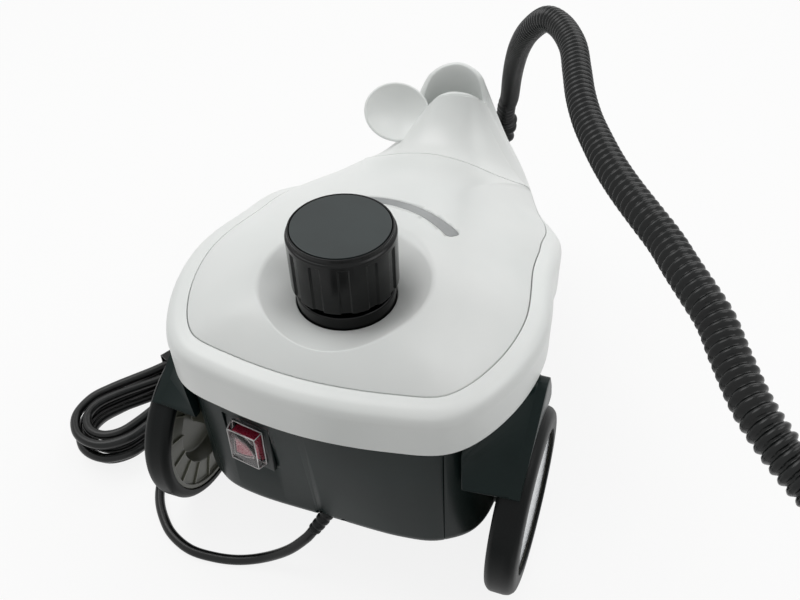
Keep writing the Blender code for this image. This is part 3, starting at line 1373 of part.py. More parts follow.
def gun():
    gun_shell("left", -1)
    gun_shell("right", 1)
    pivot = Matrix.Translation((*TRIGGER_PIVOT, 0))
    pin_u, pin_v = TRIGGER_PIVOT
    loops = [[(u * GUN_LENGTH - pin_u, v * GUN_LENGTH - pin_v, w) for u, v in TRIGGER_SHARES]
             for w in (-TRIGGER_HALF, TRIGGER_HALF)]
    trigger = loft("gun_trigger", loops, "rubber")
    trigger.matrix_world = GUN_PLACE @ pivot
    bore = rod("trigger_bore", TRIGGER_PIN + BEARING_PLAY, 4 * TRIGGER_HALF, (0, 0, 0), sides=16)
    bore.matrix_world = GUN_PLACE @ pivot
    cut(trigger, bore)
    pin = rod("trigger_pin", TRIGGER_PIN, 2 * (GUN_HALF - GUN_WALL - GAP), (0, 0, 0), "Z", "steel", 16)
    pin.matrix_world = GUN_PLACE @ pivot
    lock = box("trigger_lock", LOCK_SIZE, (0, 0, 0), "rocker_red")
    lift = GUN_HALF + LOCK_PROUD - LOCK_SIZE[2] / 2
    lock.matrix_world = GUN_PLACE @ Matrix.Translation((LOCK_SPOT[0], LOCK_SPOT[1] - LOCK_SLOT / 2, lift))
    valve = box("gun_valve", GUN_VALVE, (0, 0, 0), "brass")
    valve.matrix_world = GUN_PLACE @ Matrix.Translation((NOZZLE_START - GAP - GUN_VALVE[0] / 2, 0, 0))
    neck = GUN_LENGTH * max(u for u, _ in GUN_SHARES)
    nozzle = turned("gun_nozzle", [
        (NOZZLE_BORE, NOZZLE_END), (NOZZLE_TIP, NOZZLE_END), (NOZZLE_COLLAR, neck + NOZZLE_COLLAR),
        (NOZZLE_COLLAR, neck + OVERRUN), (NOZZLE_RADIUS, neck + OVERRUN), (NOZZLE_RADIUS, NOZZLE_START),
        (NOZZLE_BORE, NOZZLE_START),
    ], "black_shell", steps=24, ring=True)
    nozzle.matrix_world = GUN_PLACE @ Matrix.Rotation(math.pi / 2, 4, "Y")
    hose_hole = HOSE_RADIUS - HOSE_ROOT + HOSE_BORE
    cuff = turned("hose_cuff", [
        (hose_hole, CUFF_LENGTH - CUFF_INSET), (CUFF_TIP, CUFF_LENGTH - CUFF_INSET),
        (CUFF_RADIUS + OVERRUN, CUFF_INSET / 2), (CUFF_RADIUS + OVERRUN, 2 * GAP),
        (CUFF_RADIUS, 2 * GAP), (CUFF_RADIUS, -CUFF_INSET * 0.7), (hose_hole, -CUFF_INSET * 0.7),
    ], "rubber", steps=24, ring=True)
    cuff.matrix_world = cuff_place()


# Mains cord

def hank_point(place, height):
    """A place (along the hank, across it) in the world."""
    along, across = place
    turn = math.radians(HANK_TURN)
    return np.array([
        HANK_X + along * math.cos(turn) + across * math.sin(turn),
        HANK_Y + along * math.sin(turn) - across * math.cos(turn), height,
    ])


def hank_height(layer):
    return CORD_RADIUS + TIE_WALL + 2 * GAP + HANK_RISE * layer


def hank_loop_point(s):
    """The cord after s loops: runs drawn in at the waist, spiralling in and out, layer on layer."""
    passed = s / HANK_REACH
    whole = int(min(passed, HANK_LAYERS - 1e-9))
    share = passed - whole
    inward = share if whole % 2 == 0 else 1 - share
    half = HANK_HALF - HANK_STEP * HANK_REACH * inward
    layer = 0.0
    for k in range(1, HANK_LAYERS):
        layer += float(np.clip((s - k * HANK_REACH) / HANK_CLIMB + 0.5, 0, 1))
    mean = HANK_HALF - HANK_STEP * HANK_REACH / 2
    run_share = HANK_RUN / (2 * HANK_RUN + 2 * math.pi * mean)
    turn = s % 1.0
    flip = 1.0
    if run_share / 2 < turn <= 1 - run_share / 2:
        if turn < 0.5 - run_share / 2 or turn > 0.5 + run_share / 2:
            first = turn < 0.5
            at = (turn - run_share / 2) if first else (turn - 0.5 - run_share / 2)
            angle = math.pi * at / (0.5 - run_share)
            along = (HANK_RUN / 2 + half * math.sin(angle)) * (1 if first else -1)
            across = half * math.cos(angle) * (1 if first else -1)
            return hank_point((along, across), hank_height(layer))
        flip = -1.0
        at = (turn - 0.5) / run_share
    else:
        at = (turn if turn < 0.5 else turn - 1) / run_share
    draw = HANK_WAIST * math.cos(math.pi * at) ** 2
    return hank_point((flip * HANK_RUN * at, flip * (half - draw)), hank_height(layer))


def hank_points():
    loops = HANK_LAYERS * HANK_REACH
    path = [hank_loop_point(s) for s in np.linspace(0, loops, round(LOOP_POINTS * loops) + 1)]
    lead = hank_point((2 * CORD_RADIUS, 0), 0) - hank_point((0, 0), 0)
    return np.array([path[0] - lead] + path + [path[-1] + lead])


def mains_cord():
    hank = hank_points()
    way = (hank[1] - hank[0]) / np.linalg.norm(hank[1] - hank[0])
    relief = smooth(RELIEF_POINTS, RELIEF_RADIUS)
    exit_way = last_way(relief)
    start = relief[-1] + exit_way * GAP
    end = hank[0] - way * GAP
    route = [start, start + exit_way * 2 * CORD_RADIUS] + list(CORD_POINTS[2:]) + [
        end - way * 2 * CORD_RADIUS, end]
    cord = led(route, CORD_STEP)
    tube("power_cord", cord, CORD_RADIUS, "cord", 2)
    tube("power_cord_hank", hank, CORD_RADIUS, "cord", 1)
    top = hank_height(HANK_LAYERS - 1)
    tail_start = hank[-1] + way * GAP
    tail = [tail_start, tail_start + way * 2 * CORD_RADIUS] + [
        hank_point((a * HANK_RUN, b * HANK_HALF), c * top) for a, b, c in TAIL_SHARES]
    level_way = last_way(tail) * (1, 1, 0)
    level_way /= np.linalg.norm(level_way)
    tail = led(tail + [tail[-1] + level_way * 2 * CORD_RADIUS], CORD_STEP)
    tube("power_cord_tail", tail, CORD_RADIUS, "cord", 2)
    tube("cord_strain_relief", relief, RELIEF_RADIUS, "rubber", 2,
         np.linspace(1, RELIEF_TIP / RELIEF_RADIUS, len(relief)))
    print("cord length", round(length_of(cord) + length_of(hank) + length_of(tail), 3),
          "hank gap mm", round(1000 * least_gap(hank, CORD_RADIUS), 2))
    cord_tie()
    mains_plug(tail)


def cord_tie():
    half = HANK_HALF - HANK_WAIST + CORD_RADIUS + 3 * GAP
    low, high = TIE_WALL + GAP, hank_height(HANK_LAYERS - 1) + CORD_RADIUS + 2 * GAP
    loops = []
    for along, wall in ((-0.5, TIE_WALL), (0.5, TIE_WALL), (0.5, 0), (-0.5, 0)):
        loop = []
        for corner, (sx, sz) in enumerate(((1, 1), (-1, 1), (-1, -1), (1, -1))):
            for step in (0, 45, 90):
                a = math.radians(90 * corner + step)
                reach = TIE_ROUND + wall
                across = sx * (half - TIE_ROUND) + reach * math.cos(a)
                z = (high - TIE_ROUND if sz > 0 else low + TIE_ROUND) + reach * math.sin(a)
                loop.append(hank_point((along * TIE_WIDTH, across), z))
        loops.append(loop)
    loft("cord_tie", loops, "rubber", ring=True)


def mains_plug(tail):
    """A round-pin plug at the tail's end: body, neck and two pins."""
    way = tail[-1] - tail[-2]
    way[2] = 0
    way = Vector(way / np.linalg.norm(way))
    side = Vector((way.y, -way.x, 0))
    end = Vector(tail[-1]) + way * GAP
    wide, long, thick = PLUG_SIZE

    def loop(at, w, t):
        spots = []
        for k in range(12):
            a = 2 * math.pi * (k + 0.5) / 12
            c, s = math.cos(a), math.sin(a)
            c, s = (math.copysign(abs(v) ** 0.6, v) for v in (c, s))
            spots.append(end + way * at + side * (c * w / 2) + Vector((0, 0, s * t / 2)))
        return spots

    neck = 2 * PLUG_NECK
    loft("plug_body", [
        loop(0, neck, neck), loop(0.35 * long, neck * 1.1, neck * 1.1),
        loop(0.5 * long, wide * 0.8, thick * 0.9), loop(0.8 * long, wide, thick), loop(long, wide, thick),
    ], "rubber")
    for hand, sign in (("left", -1), ("right", 1)):
        root = end + way * (long + GAP) + side * (sign * PLUG_PIN_GAP / 2)
        tube(f"plug_pin_{hand}", [root, root + way * PLUG_PIN_LENGTH], PLUG_PIN, "brass", 2)


# Assembly
BEZEL_SEAT = 0.0022
SWITCH_PLACE = switch_place()
GUN_PLACE = gun_place()
GRIP_END = (-0.0360, -0.1153)
GRIP_WAY = (GUN_PLACE.to_3x3() @ Vector((math.cos(math.radians(-GUN_TURN)), math.sin(math.radians(-GUN_TURN)), 0))).normalized()
HOSE_FLOOR = HOSE_RADIUS + 2 * GAP
upper_shell()
top_cover()
lens_solid("indicator_lens", 0.0, 0.0, "smoked_lens")
housing()
for arch_side, arch_hand in ((1, "right"), (-1, "left")):
    wheel_arch(arch_side, arch_hand)
    wheel(arch_side, arch_hand)
rod("axle", AXLE_RADIUS, 2 * AXLE_HALF, (0, WHEEL_Y, WHEEL_RADIUS), "X", "steel", 24)
caster()
boiler()
filler()
cap()
switch()
steam_hose()
gun()
mains_cord()
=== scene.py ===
"""Canister steam cleaner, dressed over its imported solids.

Metres, +Z up, the same frame as the solids: origin on the floor under the filler cap, +Y to the
nose with the holster and the hose, the switch on the rear face.
"""

import json
import math

import bmesh
import bpy
import numpy as np
from mathutils import Matrix, Vector

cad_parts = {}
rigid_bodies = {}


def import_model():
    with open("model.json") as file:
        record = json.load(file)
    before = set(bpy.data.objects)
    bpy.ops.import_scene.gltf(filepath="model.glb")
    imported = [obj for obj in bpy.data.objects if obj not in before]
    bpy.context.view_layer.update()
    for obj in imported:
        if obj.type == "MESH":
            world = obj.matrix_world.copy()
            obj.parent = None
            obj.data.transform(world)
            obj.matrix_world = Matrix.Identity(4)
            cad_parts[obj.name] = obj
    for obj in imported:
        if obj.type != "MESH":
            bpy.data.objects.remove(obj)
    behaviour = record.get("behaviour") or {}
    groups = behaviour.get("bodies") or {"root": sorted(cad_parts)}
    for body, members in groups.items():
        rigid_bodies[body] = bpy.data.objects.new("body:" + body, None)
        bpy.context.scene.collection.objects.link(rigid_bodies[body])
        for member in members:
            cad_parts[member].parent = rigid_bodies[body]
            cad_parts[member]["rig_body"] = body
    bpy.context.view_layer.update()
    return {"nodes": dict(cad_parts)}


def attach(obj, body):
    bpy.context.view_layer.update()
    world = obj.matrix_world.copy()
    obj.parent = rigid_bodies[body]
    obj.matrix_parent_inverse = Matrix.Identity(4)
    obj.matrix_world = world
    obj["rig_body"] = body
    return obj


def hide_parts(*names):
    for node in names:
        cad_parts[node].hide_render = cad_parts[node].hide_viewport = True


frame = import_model()

# Camera, floor and lamps
# The machine stands on a plain pale floor under soft studio light, seen from behind, above and a
# little to its right.

AZIMUTH, ELEVATION, ROLL = (math.radians(v) for v in (21.0, 42.81, -2.26))
TARGET = np.array([0.00999, 0.06564, 0.14771])
DISTANCE = 0.63512
LENS_MM = 39.92

back = np.array([
    math.sin(AZIMUTH) * math.cos(ELEVATION), -math.cos(AZIMUTH) * math.cos(ELEVATION),
    math.sin(ELEVATION),
])
right = np.array([math.cos(AZIMUTH), math.sin(AZIMUTH), 0.0])
up = np.cross(back, right)
turned_right = right * math.cos(ROLL) + up * math.sin(ROLL)
turned_up = up * math.cos(ROLL) - right * math.sin(ROLL)


def linked(name, data):
    """A new object in the scene."""
    made = bpy.data.objects.new(name, data)
    bpy.context.scene.collection.objects.link(made)
    return made


def meshed(name, points, faces, material=None):
    """A new object whose mesh has these points and faces, and one material at most."""
    mesh = bpy.data.meshes.new(name)
    mesh.from_pydata(points, [], faces)
    if material:
        mesh.materials.append(material)
    return linked(name, mesh)


def shown(piece, slot, *nodes, body="machine"):
    """The piece in the place of its nodes, riding its body; slot is not used."""
    if nodes:
        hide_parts(*nodes)
    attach(piece, body)
    return piece


camera = linked("camera", bpy.data.cameras.new("camera"))
camera.data.lens = LENS_MM
camera.data.sensor_width = 36.0
camera.matrix_world = Matrix([
    (*row, place) for row, place in zip(
        np.column_stack([turned_right, turned_up, back]), TARGET + back * DISTANCE)
] + [(0, 0, 0, 1)])
bpy.context.scene.camera = camera
bpy.context.scene.view_settings.view_transform = "Standard"


def paint(code):
    """A colour written as sRGB hex, as linear numbers with full alpha."""
    share = np.array([int(code[i:i + 2], 16) for i in (0, 2, 4)]) / 255
    linear = np.where(share <= 0.04045, share / 12.92, ((share + 0.055) / 1.055) ** 2.4)
    return (*linear, 1.0)


def add(tree, kind, sockets=None, **settings):
    """A shader node with its settings; a socket given a socket is linked, any other value is set."""
    made = tree.nodes.new("ShaderNode" + kind)
    for key, value in settings.items():
        setattr(made, key, value)
    for key, value in (sockets or {}).items():
        if isinstance(value, bpy.types.NodeSocket):
            tree.links.new(value, made.inputs[key])
        else:
            made.inputs[key].default_value = value
    return made


def blank(name):
    """A new material with an empty node tree, and that tree."""
    made = bpy.data.materials.new(name)
    made.use_nodes = True
    made.node_tree.nodes.clear()
    return made, made.node_tree


def ramped(tree, share, low, high, stops=(0.0, 1.0)):
    """The colours between two sRGB codes by a share."""
    tone = add(tree, "ValToRGB", {"Fac": share})
    for end, code, stop in zip(tone.color_ramp.elements, (low, high), stops):
        end.color, end.position = paint(code), stop
    return tone.outputs["Color"]


def seen_direct(tree):
    """One for rays from the camera and in gloss and glass, nought for light on the object."""
    path = add(tree, "LightPath").outputs
    both = add(tree, "Math", {0: path["Is Camera Ray"], 1: path["Is Glossy Ray"]},
               operation="MAXIMUM").outputs[0]
    return add(tree, "Math", {0: both, 1: path["Is Transmission Ray"]},
               operation="MAXIMUM").outputs[0]


AMBIENT = 0.42
FLOOR_SHARE = 0.86
world = bpy.data.worlds.new("studio")
bpy.context.scene.world = world
world.use_nodes = True
sky = world.node_tree
sky.nodes.clear()
soft = add(sky, "Background", {"Color": paint("FFFFFF"), "Strength": AMBIENT})
plain = add(sky, "Background", {"Color": paint("FFFFFF"), "Strength": 1.0})
mixed = add(sky, "MixShader", {0: seen_direct(sky), 1: soft.outputs[0], 2: plain.outputs[0]})
add(sky, "OutputWorld", {"Surface": mixed.outputs[0]})

FLOOR_HALF, FLOOR_DROP = 4.0, 2e-4
studio_paper, tree = blank("studio paper")
matt = add(tree, "BsdfDiffuse", {"Color": paint("F2F2F1")})
glow = add(tree, "Emission", {"Color": paint("FFFFFF"), "Strength": 1.0})
share = add(tree, "Math", {0: seen_direct(tree), 1: FLOOR_SHARE}, operation="MULTIPLY")
paper = add(tree, "MixShader", {0: share.outputs[0], 1: matt.outputs[0], 2: glow.outputs[0]})
add(tree, "OutputMaterial", {"Surface": paper.outputs[0]})
floor = meshed("floor", [(x * FLOOR_HALF, y * FLOOR_HALF, -FLOOR_DROP)
                         for x, y in ((-1, -1), (1, -1), (1, 1), (-1, 1))], [(0, 1, 2, 3)], studio_paper)

for lamp_name, spot, size, power in (
        ("key lamp", (-0.80, 0.25, 1.65), 1.1, 11.0),
        ("fill lamp", (1.00, 0.30, 1.50), 1.0, 7.0),
        ("rear lamp", (0.2, 1.6, 1.2), 1.2, 4.0)):
    lamp_data = bpy.data.lights.new(lamp_name, "AREA")
    lamp_data.size = size
    lamp_data.energy = power
    lamp = linked(lamp_name, lamp_data)
    lamp.location = spot
    lamp.rotation_euler = (Vector(spot) - Vector(TARGET)).to_track_quat("Z", "Y").to_euler()

# Steam hose
# One length of corrugated rubber hose from the nose, over the machine and down to a loose coil on
# the floor, where a cuff joins it to the gun. Its ribs run round it as a fine screw.

HOSE_RADIUS = 0.0085
RIB_PITCH = 0.00435
RIB_DEPTH = 0.0021
HOSE_FLOOR = 0.0091
BOOT_WAY = [
    (0.0045, 0.270, 0.101), (0.0055, 0.284, 0.104), (0.008, 0.299, 0.108),
    (0.012, 0.3135, 0.1145), (0.0165, 0.3235, 0.126), (0.0192, 0.3255, 0.138),
    (0.0207, 0.322, 0.1495),
]
HOSE_WAY = [
    (0.026, 0.312, 0.178), (0.033, 0.285, 0.212), (0.042, 0.252, 0.245),
    (0.052, 0.220, 0.275), (0.064, 0.190, 0.302), (0.079, 0.164, 0.324), (0.092, 0.145, 0.330),
    (0.105, 0.116, 0.333), (0.113, 0.088, 0.333), (0.120, 0.063, 0.332), (0.128, 0.041, 0.331),
    (0.137, 0.021, 0.331), (0.146, 0.003, 0.331), (0.156, -0.014, 0.331), (0.168, -0.032, 0.331),
    (0.179, -0.047, 0.330), (0.188, -0.063, 0.330), (0.197, -0.077, 0.329), (0.205, -0.089, 0.327),
    (0.213, -0.106, 0.324), (0.225, -0.128, 0.320), (0.245, -0.147, 0.312), (0.266, -0.156, 0.303),
    (0.287, -0.153, 0.288), (0.305, -0.141, 0.266), (0.316, -0.124, 0.238), (0.321, -0.099, 0.190),
    (0.322, -0.079, 0.130),
]
DROP_RADIUS = 0.066
COIL_MIDDLE = np.array([0.254, -0.175])
COIL_RADIUS = 0.068
COIL_GROWTH = 0.055
COIL_TURNS = 1.25
PATH_STEP = 0.002
TINY = 0.0003


def catmull(points, at):
    """The curve through padded points: each span a cubic whose slope at a point is half the way
    between its neighbours, at places that count spans from the second point on."""
    points = np.asarray(points, float)
    span = np.minimum(np.floor(at).astype(int), len(points) - 4)
    t = (at - span)[:, None]
    p0, p1, p2, p3 = (points[span + k] for k in range(4))
    return 0.5 * (2 * p1 + (p2 - p0) * t + (2 * p0 - 5 * p1 + 4 * p2 - p3) * t ** 2
                  + (3 * p1 - p0 - 3 * p2 + p3) * t ** 3)


def circle(count):
    """Angles evenly round a circle, from nought on."""
    return np.linspace(0, 2 * math.pi, count, endpoint=False)


def lengths(points):
    """How far along a line each of its points lies."""
    return np.append(0, np.cumsum(np.linalg.norm(np.diff(points, axis=0), axis=1)))


def evenly(points, step):
    """The same line with its points a step apart along it."""
    along = lengths(points)
    at = np.linspace(0, along[-1], max(2, round(along[-1] / step)) + 1)
    return np.column_stack([np.interp(at, along, column) for column in points.T])


def smooth(points, step, before=None, after=None):
    """The open curve through points, with points a step apart."""
    points = np.array([tuple(p) for p in points], float)
    before = 2 * points[0] - points[1] if before is None else before
    after = 2 * points[-1] - points[-2] if after is None else after
    padded = np.vstack([before, points, after])
    spans = len(points) - 1
    return evenly(catmull(padded, np.linspace(0, spans, 24 * spans + 1)), step)


def led(route, step):
    """A smooth line whose first and last stretches, between given points, are straight."""
    route = np.array([tuple(p) for p in route], float)
    middle = smooth(route[1:-1], step, route[0], route[-1])
    return evenly(np.vstack([route[:1], middle, route[-1:]]), step)


def last_way(points):
    """The unit direction in which a line ends."""
    way = points[-1] - points[-2]
    return way / np.linalg.norm(way)


def frames(path):
    """Two directions square to a path at each point, each turned from the last by the least."""
    way = np.gradient(path, axis=0)
    way /= np.linalg.norm(way, axis=1)[:, None]
    first = np.cross(way[0], (0.0, 0.0, 1.0) if abs(way[0, 2]) < 0.9 else (1.0, 0.0, 0.0))
    side = np.empty_like(path)
    side[0] = first / np.linalg.norm(first)
    for i in range(1, len(path)):
        across = side[i - 1] - way[i] * (side[i - 1] @ way[i])
        side[i] = across / np.linalg.norm(across)
    return side, np.cross(way, side)


def quads(index, round_columns, round_rows):
    """The faces of a grid of point numbers, its columns and rows closed into rings if set."""
    beside = np.roll(index, -1, 1)
    if not round_columns:
        index, beside = index[:, :-1], beside[:, :-1]
    if round_rows:
        index, beside = np.vstack([index, index[:1]]), np.vstack([beside, beside[:1]])
    return np.stack([index[:-1], beside[:-1], beside[1:], index[1:]], -1).reshape(-1, 4)


def skin(name, grid, material, round_rows=False, ends=True, sharp=None):
    """A surface from a grid of points: rows go along or up, columns run round anticlockwise and
    close. round_rows joins the last row to the first; ends shuts each open end on a pole."""
    rows, columns = grid.shape[:2]
    index = np.arange(rows * columns).reshape(rows, columns)
    points, faces = grid.reshape(-1, 3), quads(index, True, round_rows).tolist()
    if ends and not round_rows:
        points = np.vstack([points, grid[0].mean(0), grid[-1].mean(0)])
        pole = np.full(columns, rows * columns)
        faces += np.stack([pole, np.roll(index[0], -1), index[0]], -1).tolist()
        faces += np.stack([pole + 1, index[-1], np.roll(index[-1], -1)], -1).tolist()
    piece = meshed(name, points.tolist(), faces, material)
    piece.data.shade_smooth()
    if sharp is not None:
        piece.data.set_sharp_from_angle(angle=math.radians(sharp))
    return piece


def carried(name, path, reach, around, material, ends=True):
    """A tube along a path: at each point a ring at reach(length along, angle) from it."""
    side, up = frames(path)
    along = lengths(path)[:, None]
    angle = circle(around)[None]
    out = (reach(along, angle) * np.ones_like(along * angle))[..., None]
    ring = side[:, None] * np.cos(angle)[..., None] + up[:, None] * np.sin(angle)[..., None]
    return skin(name, path[:, None] + ring * out, material, ends=ends)


def moulded(name, light, dark, rough, grain_mm, relief, cloud_mm=70.0, spread=0.05, ior=1.5):
    """A moulded plastic or rubber: two close tones in soft clouds, a fine grain in its gloss and
    relief from the tool's face, and a slow unevenness such as cooling leaves."""
    made, tree = blank(name)
    place = add(tree, "TexCoord").outputs["Object"]
    cloud = add(tree, "TexNoise", {"Vector": place, "Scale": 1000 / cloud_mm, "Detail": 3.0})
    grain = add(tree, "TexNoise", {"Vector": place, "Scale": 1000 / grain_mm, "Detail": 2.0})
    tone = ramped(tree, cloud.outputs["Fac"], dark, light, (0.35, 0.65))
    gloss = add(tree, "MapRange", {
        "Value": grain.outputs["Fac"], "To Min": rough - spread, "To Max": rough + spread})
    fine = add(tree, "Bump", {
        "Strength": relief, "Distance": grain_mm / 4000, "Height": grain.outputs["Fac"]})
    slow = add(tree, "Bump", {
        "Strength": 0.10, "Distance": cloud_mm / 40000, "Height": cloud.outputs["Fac"],
        "Normal": fine.outputs["Normal"]})
    shader = add(tree, "BsdfPrincipled", {
        "Base Color": tone, "Roughness": gloss.outputs["Result"],
        "Normal": slow.outputs["Normal"], "IOR": ior})
    add(tree, "OutputMaterial", {"Surface": shader.outputs[0]})
    return made


def metal(name, light, dark, rough):
    """A worked metal: two close tones in small clouds and a fine grain, on a metallic shader."""
    made = moulded(name, light, dark, rough, 1.2, 0.05, 12.0)
    made.node_tree.nodes["Principled BSDF"].inputs["Metallic"].default_value = 1.0
    return made


# Extruded rubber: black, with a soft sheen that breaks up over a faint bloom.
hose_rubber = moulded("extruded rubber", "080B0B", "040606", 0.24, 1.6, 0.06, 45.0, ior=1.36)
# Soft moulded rubber: a little greyer and duller than the hose.
moulded_rubber = moulded("moulded rubber", "0A0D0D", "060808", 0.36, 0.8, 0.15, ior=1.30)

boot_path = smooth(BOOT_WAY, 0.0007)
boot_way = last_way(boot_path)
hose_start = boot_path[-1] + boot_way * TINY
drop_x = COIL_MIDDLE[0] + COIL_RADIUS
straight = 2 * HOSE_RADIUS
bend_turn = np.linspace(0, math.pi / 2, 5)[:-1]
bend = np.array([drop_x, COIL_MIDDLE[1] + 2 * straight + TINY, HOSE_FLOOR + DROP_RADIUS]) + (
    DROP_RADIUS * np.column_stack([0 * bend_turn, np.cos(bend_turn), -np.sin(bend_turn)]))
drop_end = np.array([drop_x, COIL_MIDDLE[1] + straight + TINY, HOSE_FLOOR])
drop = led([hose_start, hose_start + boot_way * straight, *HOSE_WAY, *bend,
            drop_end + (0, straight, 0), drop_end], PATH_STEP)

def closed_curve(points, at):
    """The closed curve through points, at places from 0 to their number."""
    points = np.asarray(points, float)
    return catmull(np.vstack([points[-1:], points, points[:2]]), at)


# The gun's place on the floor, which the coil's far end runs to.
GUN_TURN = math.radians(105.0)
GUN_PLACE = Matrix.Translation((0.0035, -0.26012338, 0.020)) @ Matrix.Rotation(GUN_TURN, 4, "Z")
GRIP_END = GUN_PLACE @ Vector((-0.0360, -0.1153, 0.0))
GRIP_WAY = (GUN_PLACE.to_3x3() @ Vector((math.cos(-GUN_TURN), math.sin(-GUN_TURN), 0.0))).normalized()
CUFF_OUT = 0.030

turns = np.linspace(0, COIL_TURNS, round(24 * COIL_TURNS) + 1)
coil_reach = COIL_RADIUS + COIL_GROWTH * turns
coil = np.column_stack([
    COIL_MIDDLE[0] + coil_reach * np.cos(2 * math.pi * turns),
    COIL_MIDDLE[1] - coil_reach * np.sin(2 * math.pi * turns), np.full(len(turns), HOSE_FLOOR)])
cuff_end = np.array(GRIP_END + GRIP_WAY * (CUFF_OUT + TINY))
near_cuff = cuff_end + np.array(GRIP_WAY) * straight
half_way = (coil[-1] + near_cuff) / 2
lead = led([coil[-2], coil[-1], half_way, near_cuff, cuff_end], 0.024)
coil_path = smooth(np.vstack([coil[0] + (0, straight, 0), coil[:-1], lead[1:]]), PATH_STEP)
RIB_POINTS = 7
hose_path = evenly(np.vstack([drop, coil_path[1:]]), RIB_PITCH / RIB_POINTS)


def corrugated(along, angle):
    """Rounded ribs with grooves between them, on one screw round the hose."""
    phase = (along / RIB_PITCH - angle / (2 * math.pi)) % 1.0
    hump = np.abs(2 * phase - 1) ** 2
    lip = 0.12 * np.exp(-((phase - 0.16) / 0.07) ** 2)
    return HOSE_RADIUS - RIB_DEPTH * np.clip(hump + 0.12 - lip, 0, 1)


steam_hose = carried("steam_hose_ribbed", hose_path, corrugated, 26, hose_rubber)
shown(steam_hose, "rubber", "steam_hose", "steam_hose_coil")

# The boot: a moulded rubber bellows that is pushed over the hose's end and clipped into the nose.
BOOT_RADIUS, BOOT_TIP, BOOT_RIB, BOOT_RIBS = 0.0140, 0.0112, 0.0024, 9
boot_length = lengths(boot_path)[-1]


def bellows(along, angle):
    """A taper from the root to the tip with round ribs, and a smooth collar at each end."""
    share = along / boot_length
    wave = 0.5 - 0.5 * np.cos(2 * math.pi * np.clip(share * BOOT_RIBS, 0, BOOT_RIBS))
    end = np.clip(np.minimum(share, 1 - share) * boot_length / 0.0008, 0, 1)
    return (BOOT_RADIUS + (BOOT_TIP - BOOT_RADIUS) * share - BOOT_RIB * wave ** 1.5
            - 0.0006 * (1 - np.sqrt(1 - (1 - end) ** 2)))


hose_boot = carried("hose_boot_bellows", boot_path, bellows, 72, moulded_rubber)
shown(hose_boot, "rubber", "hose_boot")


def rounded(corners, reach, steps=5):
    """Corner points, along axis 0, with each inner corner turned into a short arc that starts
    reach before it: a quadratic from side to side, with a point just outside each end."""
    corners = np.asarray(corners, float)
    p = corners[1:-1]
    before, after = corners[:-2] - p, corners[2:] - p
    long_before = np.linalg.norm(before, axis=-1, keepdims=True)
    long_after = np.linalg.norm(after, axis=-1, keepdims=True)
    reach = np.asarray(reach, float)
    if reach.ndim:
        reach = reach.reshape((-1,) + (1,) * (corners.ndim - 1))
    trim = np.minimum(reach, 0.4 * np.minimum(long_before, long_after))
    before, after = before / long_before * trim, after / long_after * trim
    u = np.linspace(0, 1, steps).reshape((-1,) + (1,) * corners.ndim)
    arc = p + (1 - u) ** 2 * before + u ** 2 * after
    arc = np.concatenate([(p + before * 1.2)[None], arc, (p + after * 1.2)[None]])
    arc = np.swapaxes(arc, 0, 1).reshape(-1, *corners.shape[1:])
    return np.concatenate([corners[:1], arc, corners[-1:]])


def moved(points, place):
    """Points taken from a place's own axes to the world."""
    return points @ np.array(place.to_3x3()).T + np.array(place.translation)


def revolved(name, profile, place, material, around=96, closed=False, wave=None, ends=True):
    """A profile of (radius, height) turned about Z and set in place. wave(angle, height) is
    taken off the radius."""
    profile = np.asarray(profile, float)
    angle = circle(around)[None]
    reach = profile[:, :1] - (0 if wave is None else wave(angle, profile[:, 1:], profile[:, :1]))
    grid = np.stack([reach * np.cos(angle), reach * np.sin(angle),
                     profile[:, 1:] + 0 * angle], -1)
    return skin(name, moved(grid, place), material, closed, ends)


def ringed(corners, reach, steps=4):
    """A closed profile with all its corners rounded."""
    corners = np.asarray(corners, float)
    return rounded(np.vstack([corners[-1:], corners, corners[:1]]), reach, steps)[1:-1]


cuff_place = Matrix.Translation(GRIP_END) @ GRIP_WAY.to_track_quat("Z", "Y").to_matrix().to_4x4()
CUFF_HOLE = 0.0055
hose_cuff = revolved("hose_cuff_sleeve", ringed([
    (CUFF_HOLE, -0.0084), (0.0125, -0.0084), (0.0125, 0.0006), (0.0155, 0.0006), (0.0155, 0.006),
    (0.0138, 0.0125), (0.0141, 0.0140), (0.0127, 0.0185), (0.0130, 0.0200), (0.0116, 0.0245),
    (0.0118, 0.0258), (0.0105, 0.030), (CUFF_HOLE, 0.030),
], 0.0008), cuff_place, moulded_rubber, closed=True)
shown(hose_cuff, "rubber", "hose_cuff")

# Mains cord
# A round black cord with a rubber strain relief where it leaves the rear panel. Its spare length
# is folded into a hank behind the left wheel, held by a rubber tie, with the plug lying on top.

CORD_RADIUS = 0.00375
RELIEF_WAY = [
    (0.0035, -0.046, 0.0675), (0.002, -0.053, 0.0625), (-0.0005, -0.060, 0.0570),
    (-0.0045, -0.0655, 0.0505), (-0.0085, -0.0695, 0.0445),
]
CORD_WAY = [
    (-0.026, -0.079, 0.0238), (-0.045, -0.083, 0.0100), (-0.064, -0.0885, 0.0050),
    (-0.083, -0.092, 0.0045), (-0.103, -0.092, 0.0045), (-0.122, -0.085, 0.0045),
    (-0.136, -0.074, 0.0045), (-0.147, -0.061, 0.0045), (-0.1545, -0.046, 0.0045),
    (-0.160, -0.028, 0.0048), (-0.1640, -0.010, 0.0053),
]
HANK_MIDDLE = (-0.179, 0.044)
HANK_TURN = math.radians(61.9)
HANK_RUN, HANK_HALF, HANK_WAIST = 0.138, 0.0315, 0.0095
HANK_STEP, HANK_RISE, HANK_REACH, HANK_LAYERS, HANK_CLIMB = 0.0093, 0.0085, 1.5, 4, 0.30
TIE_WIDTH, TIE_WALL, TIE_ROUND = 0.012, 0.0012, 0.0025
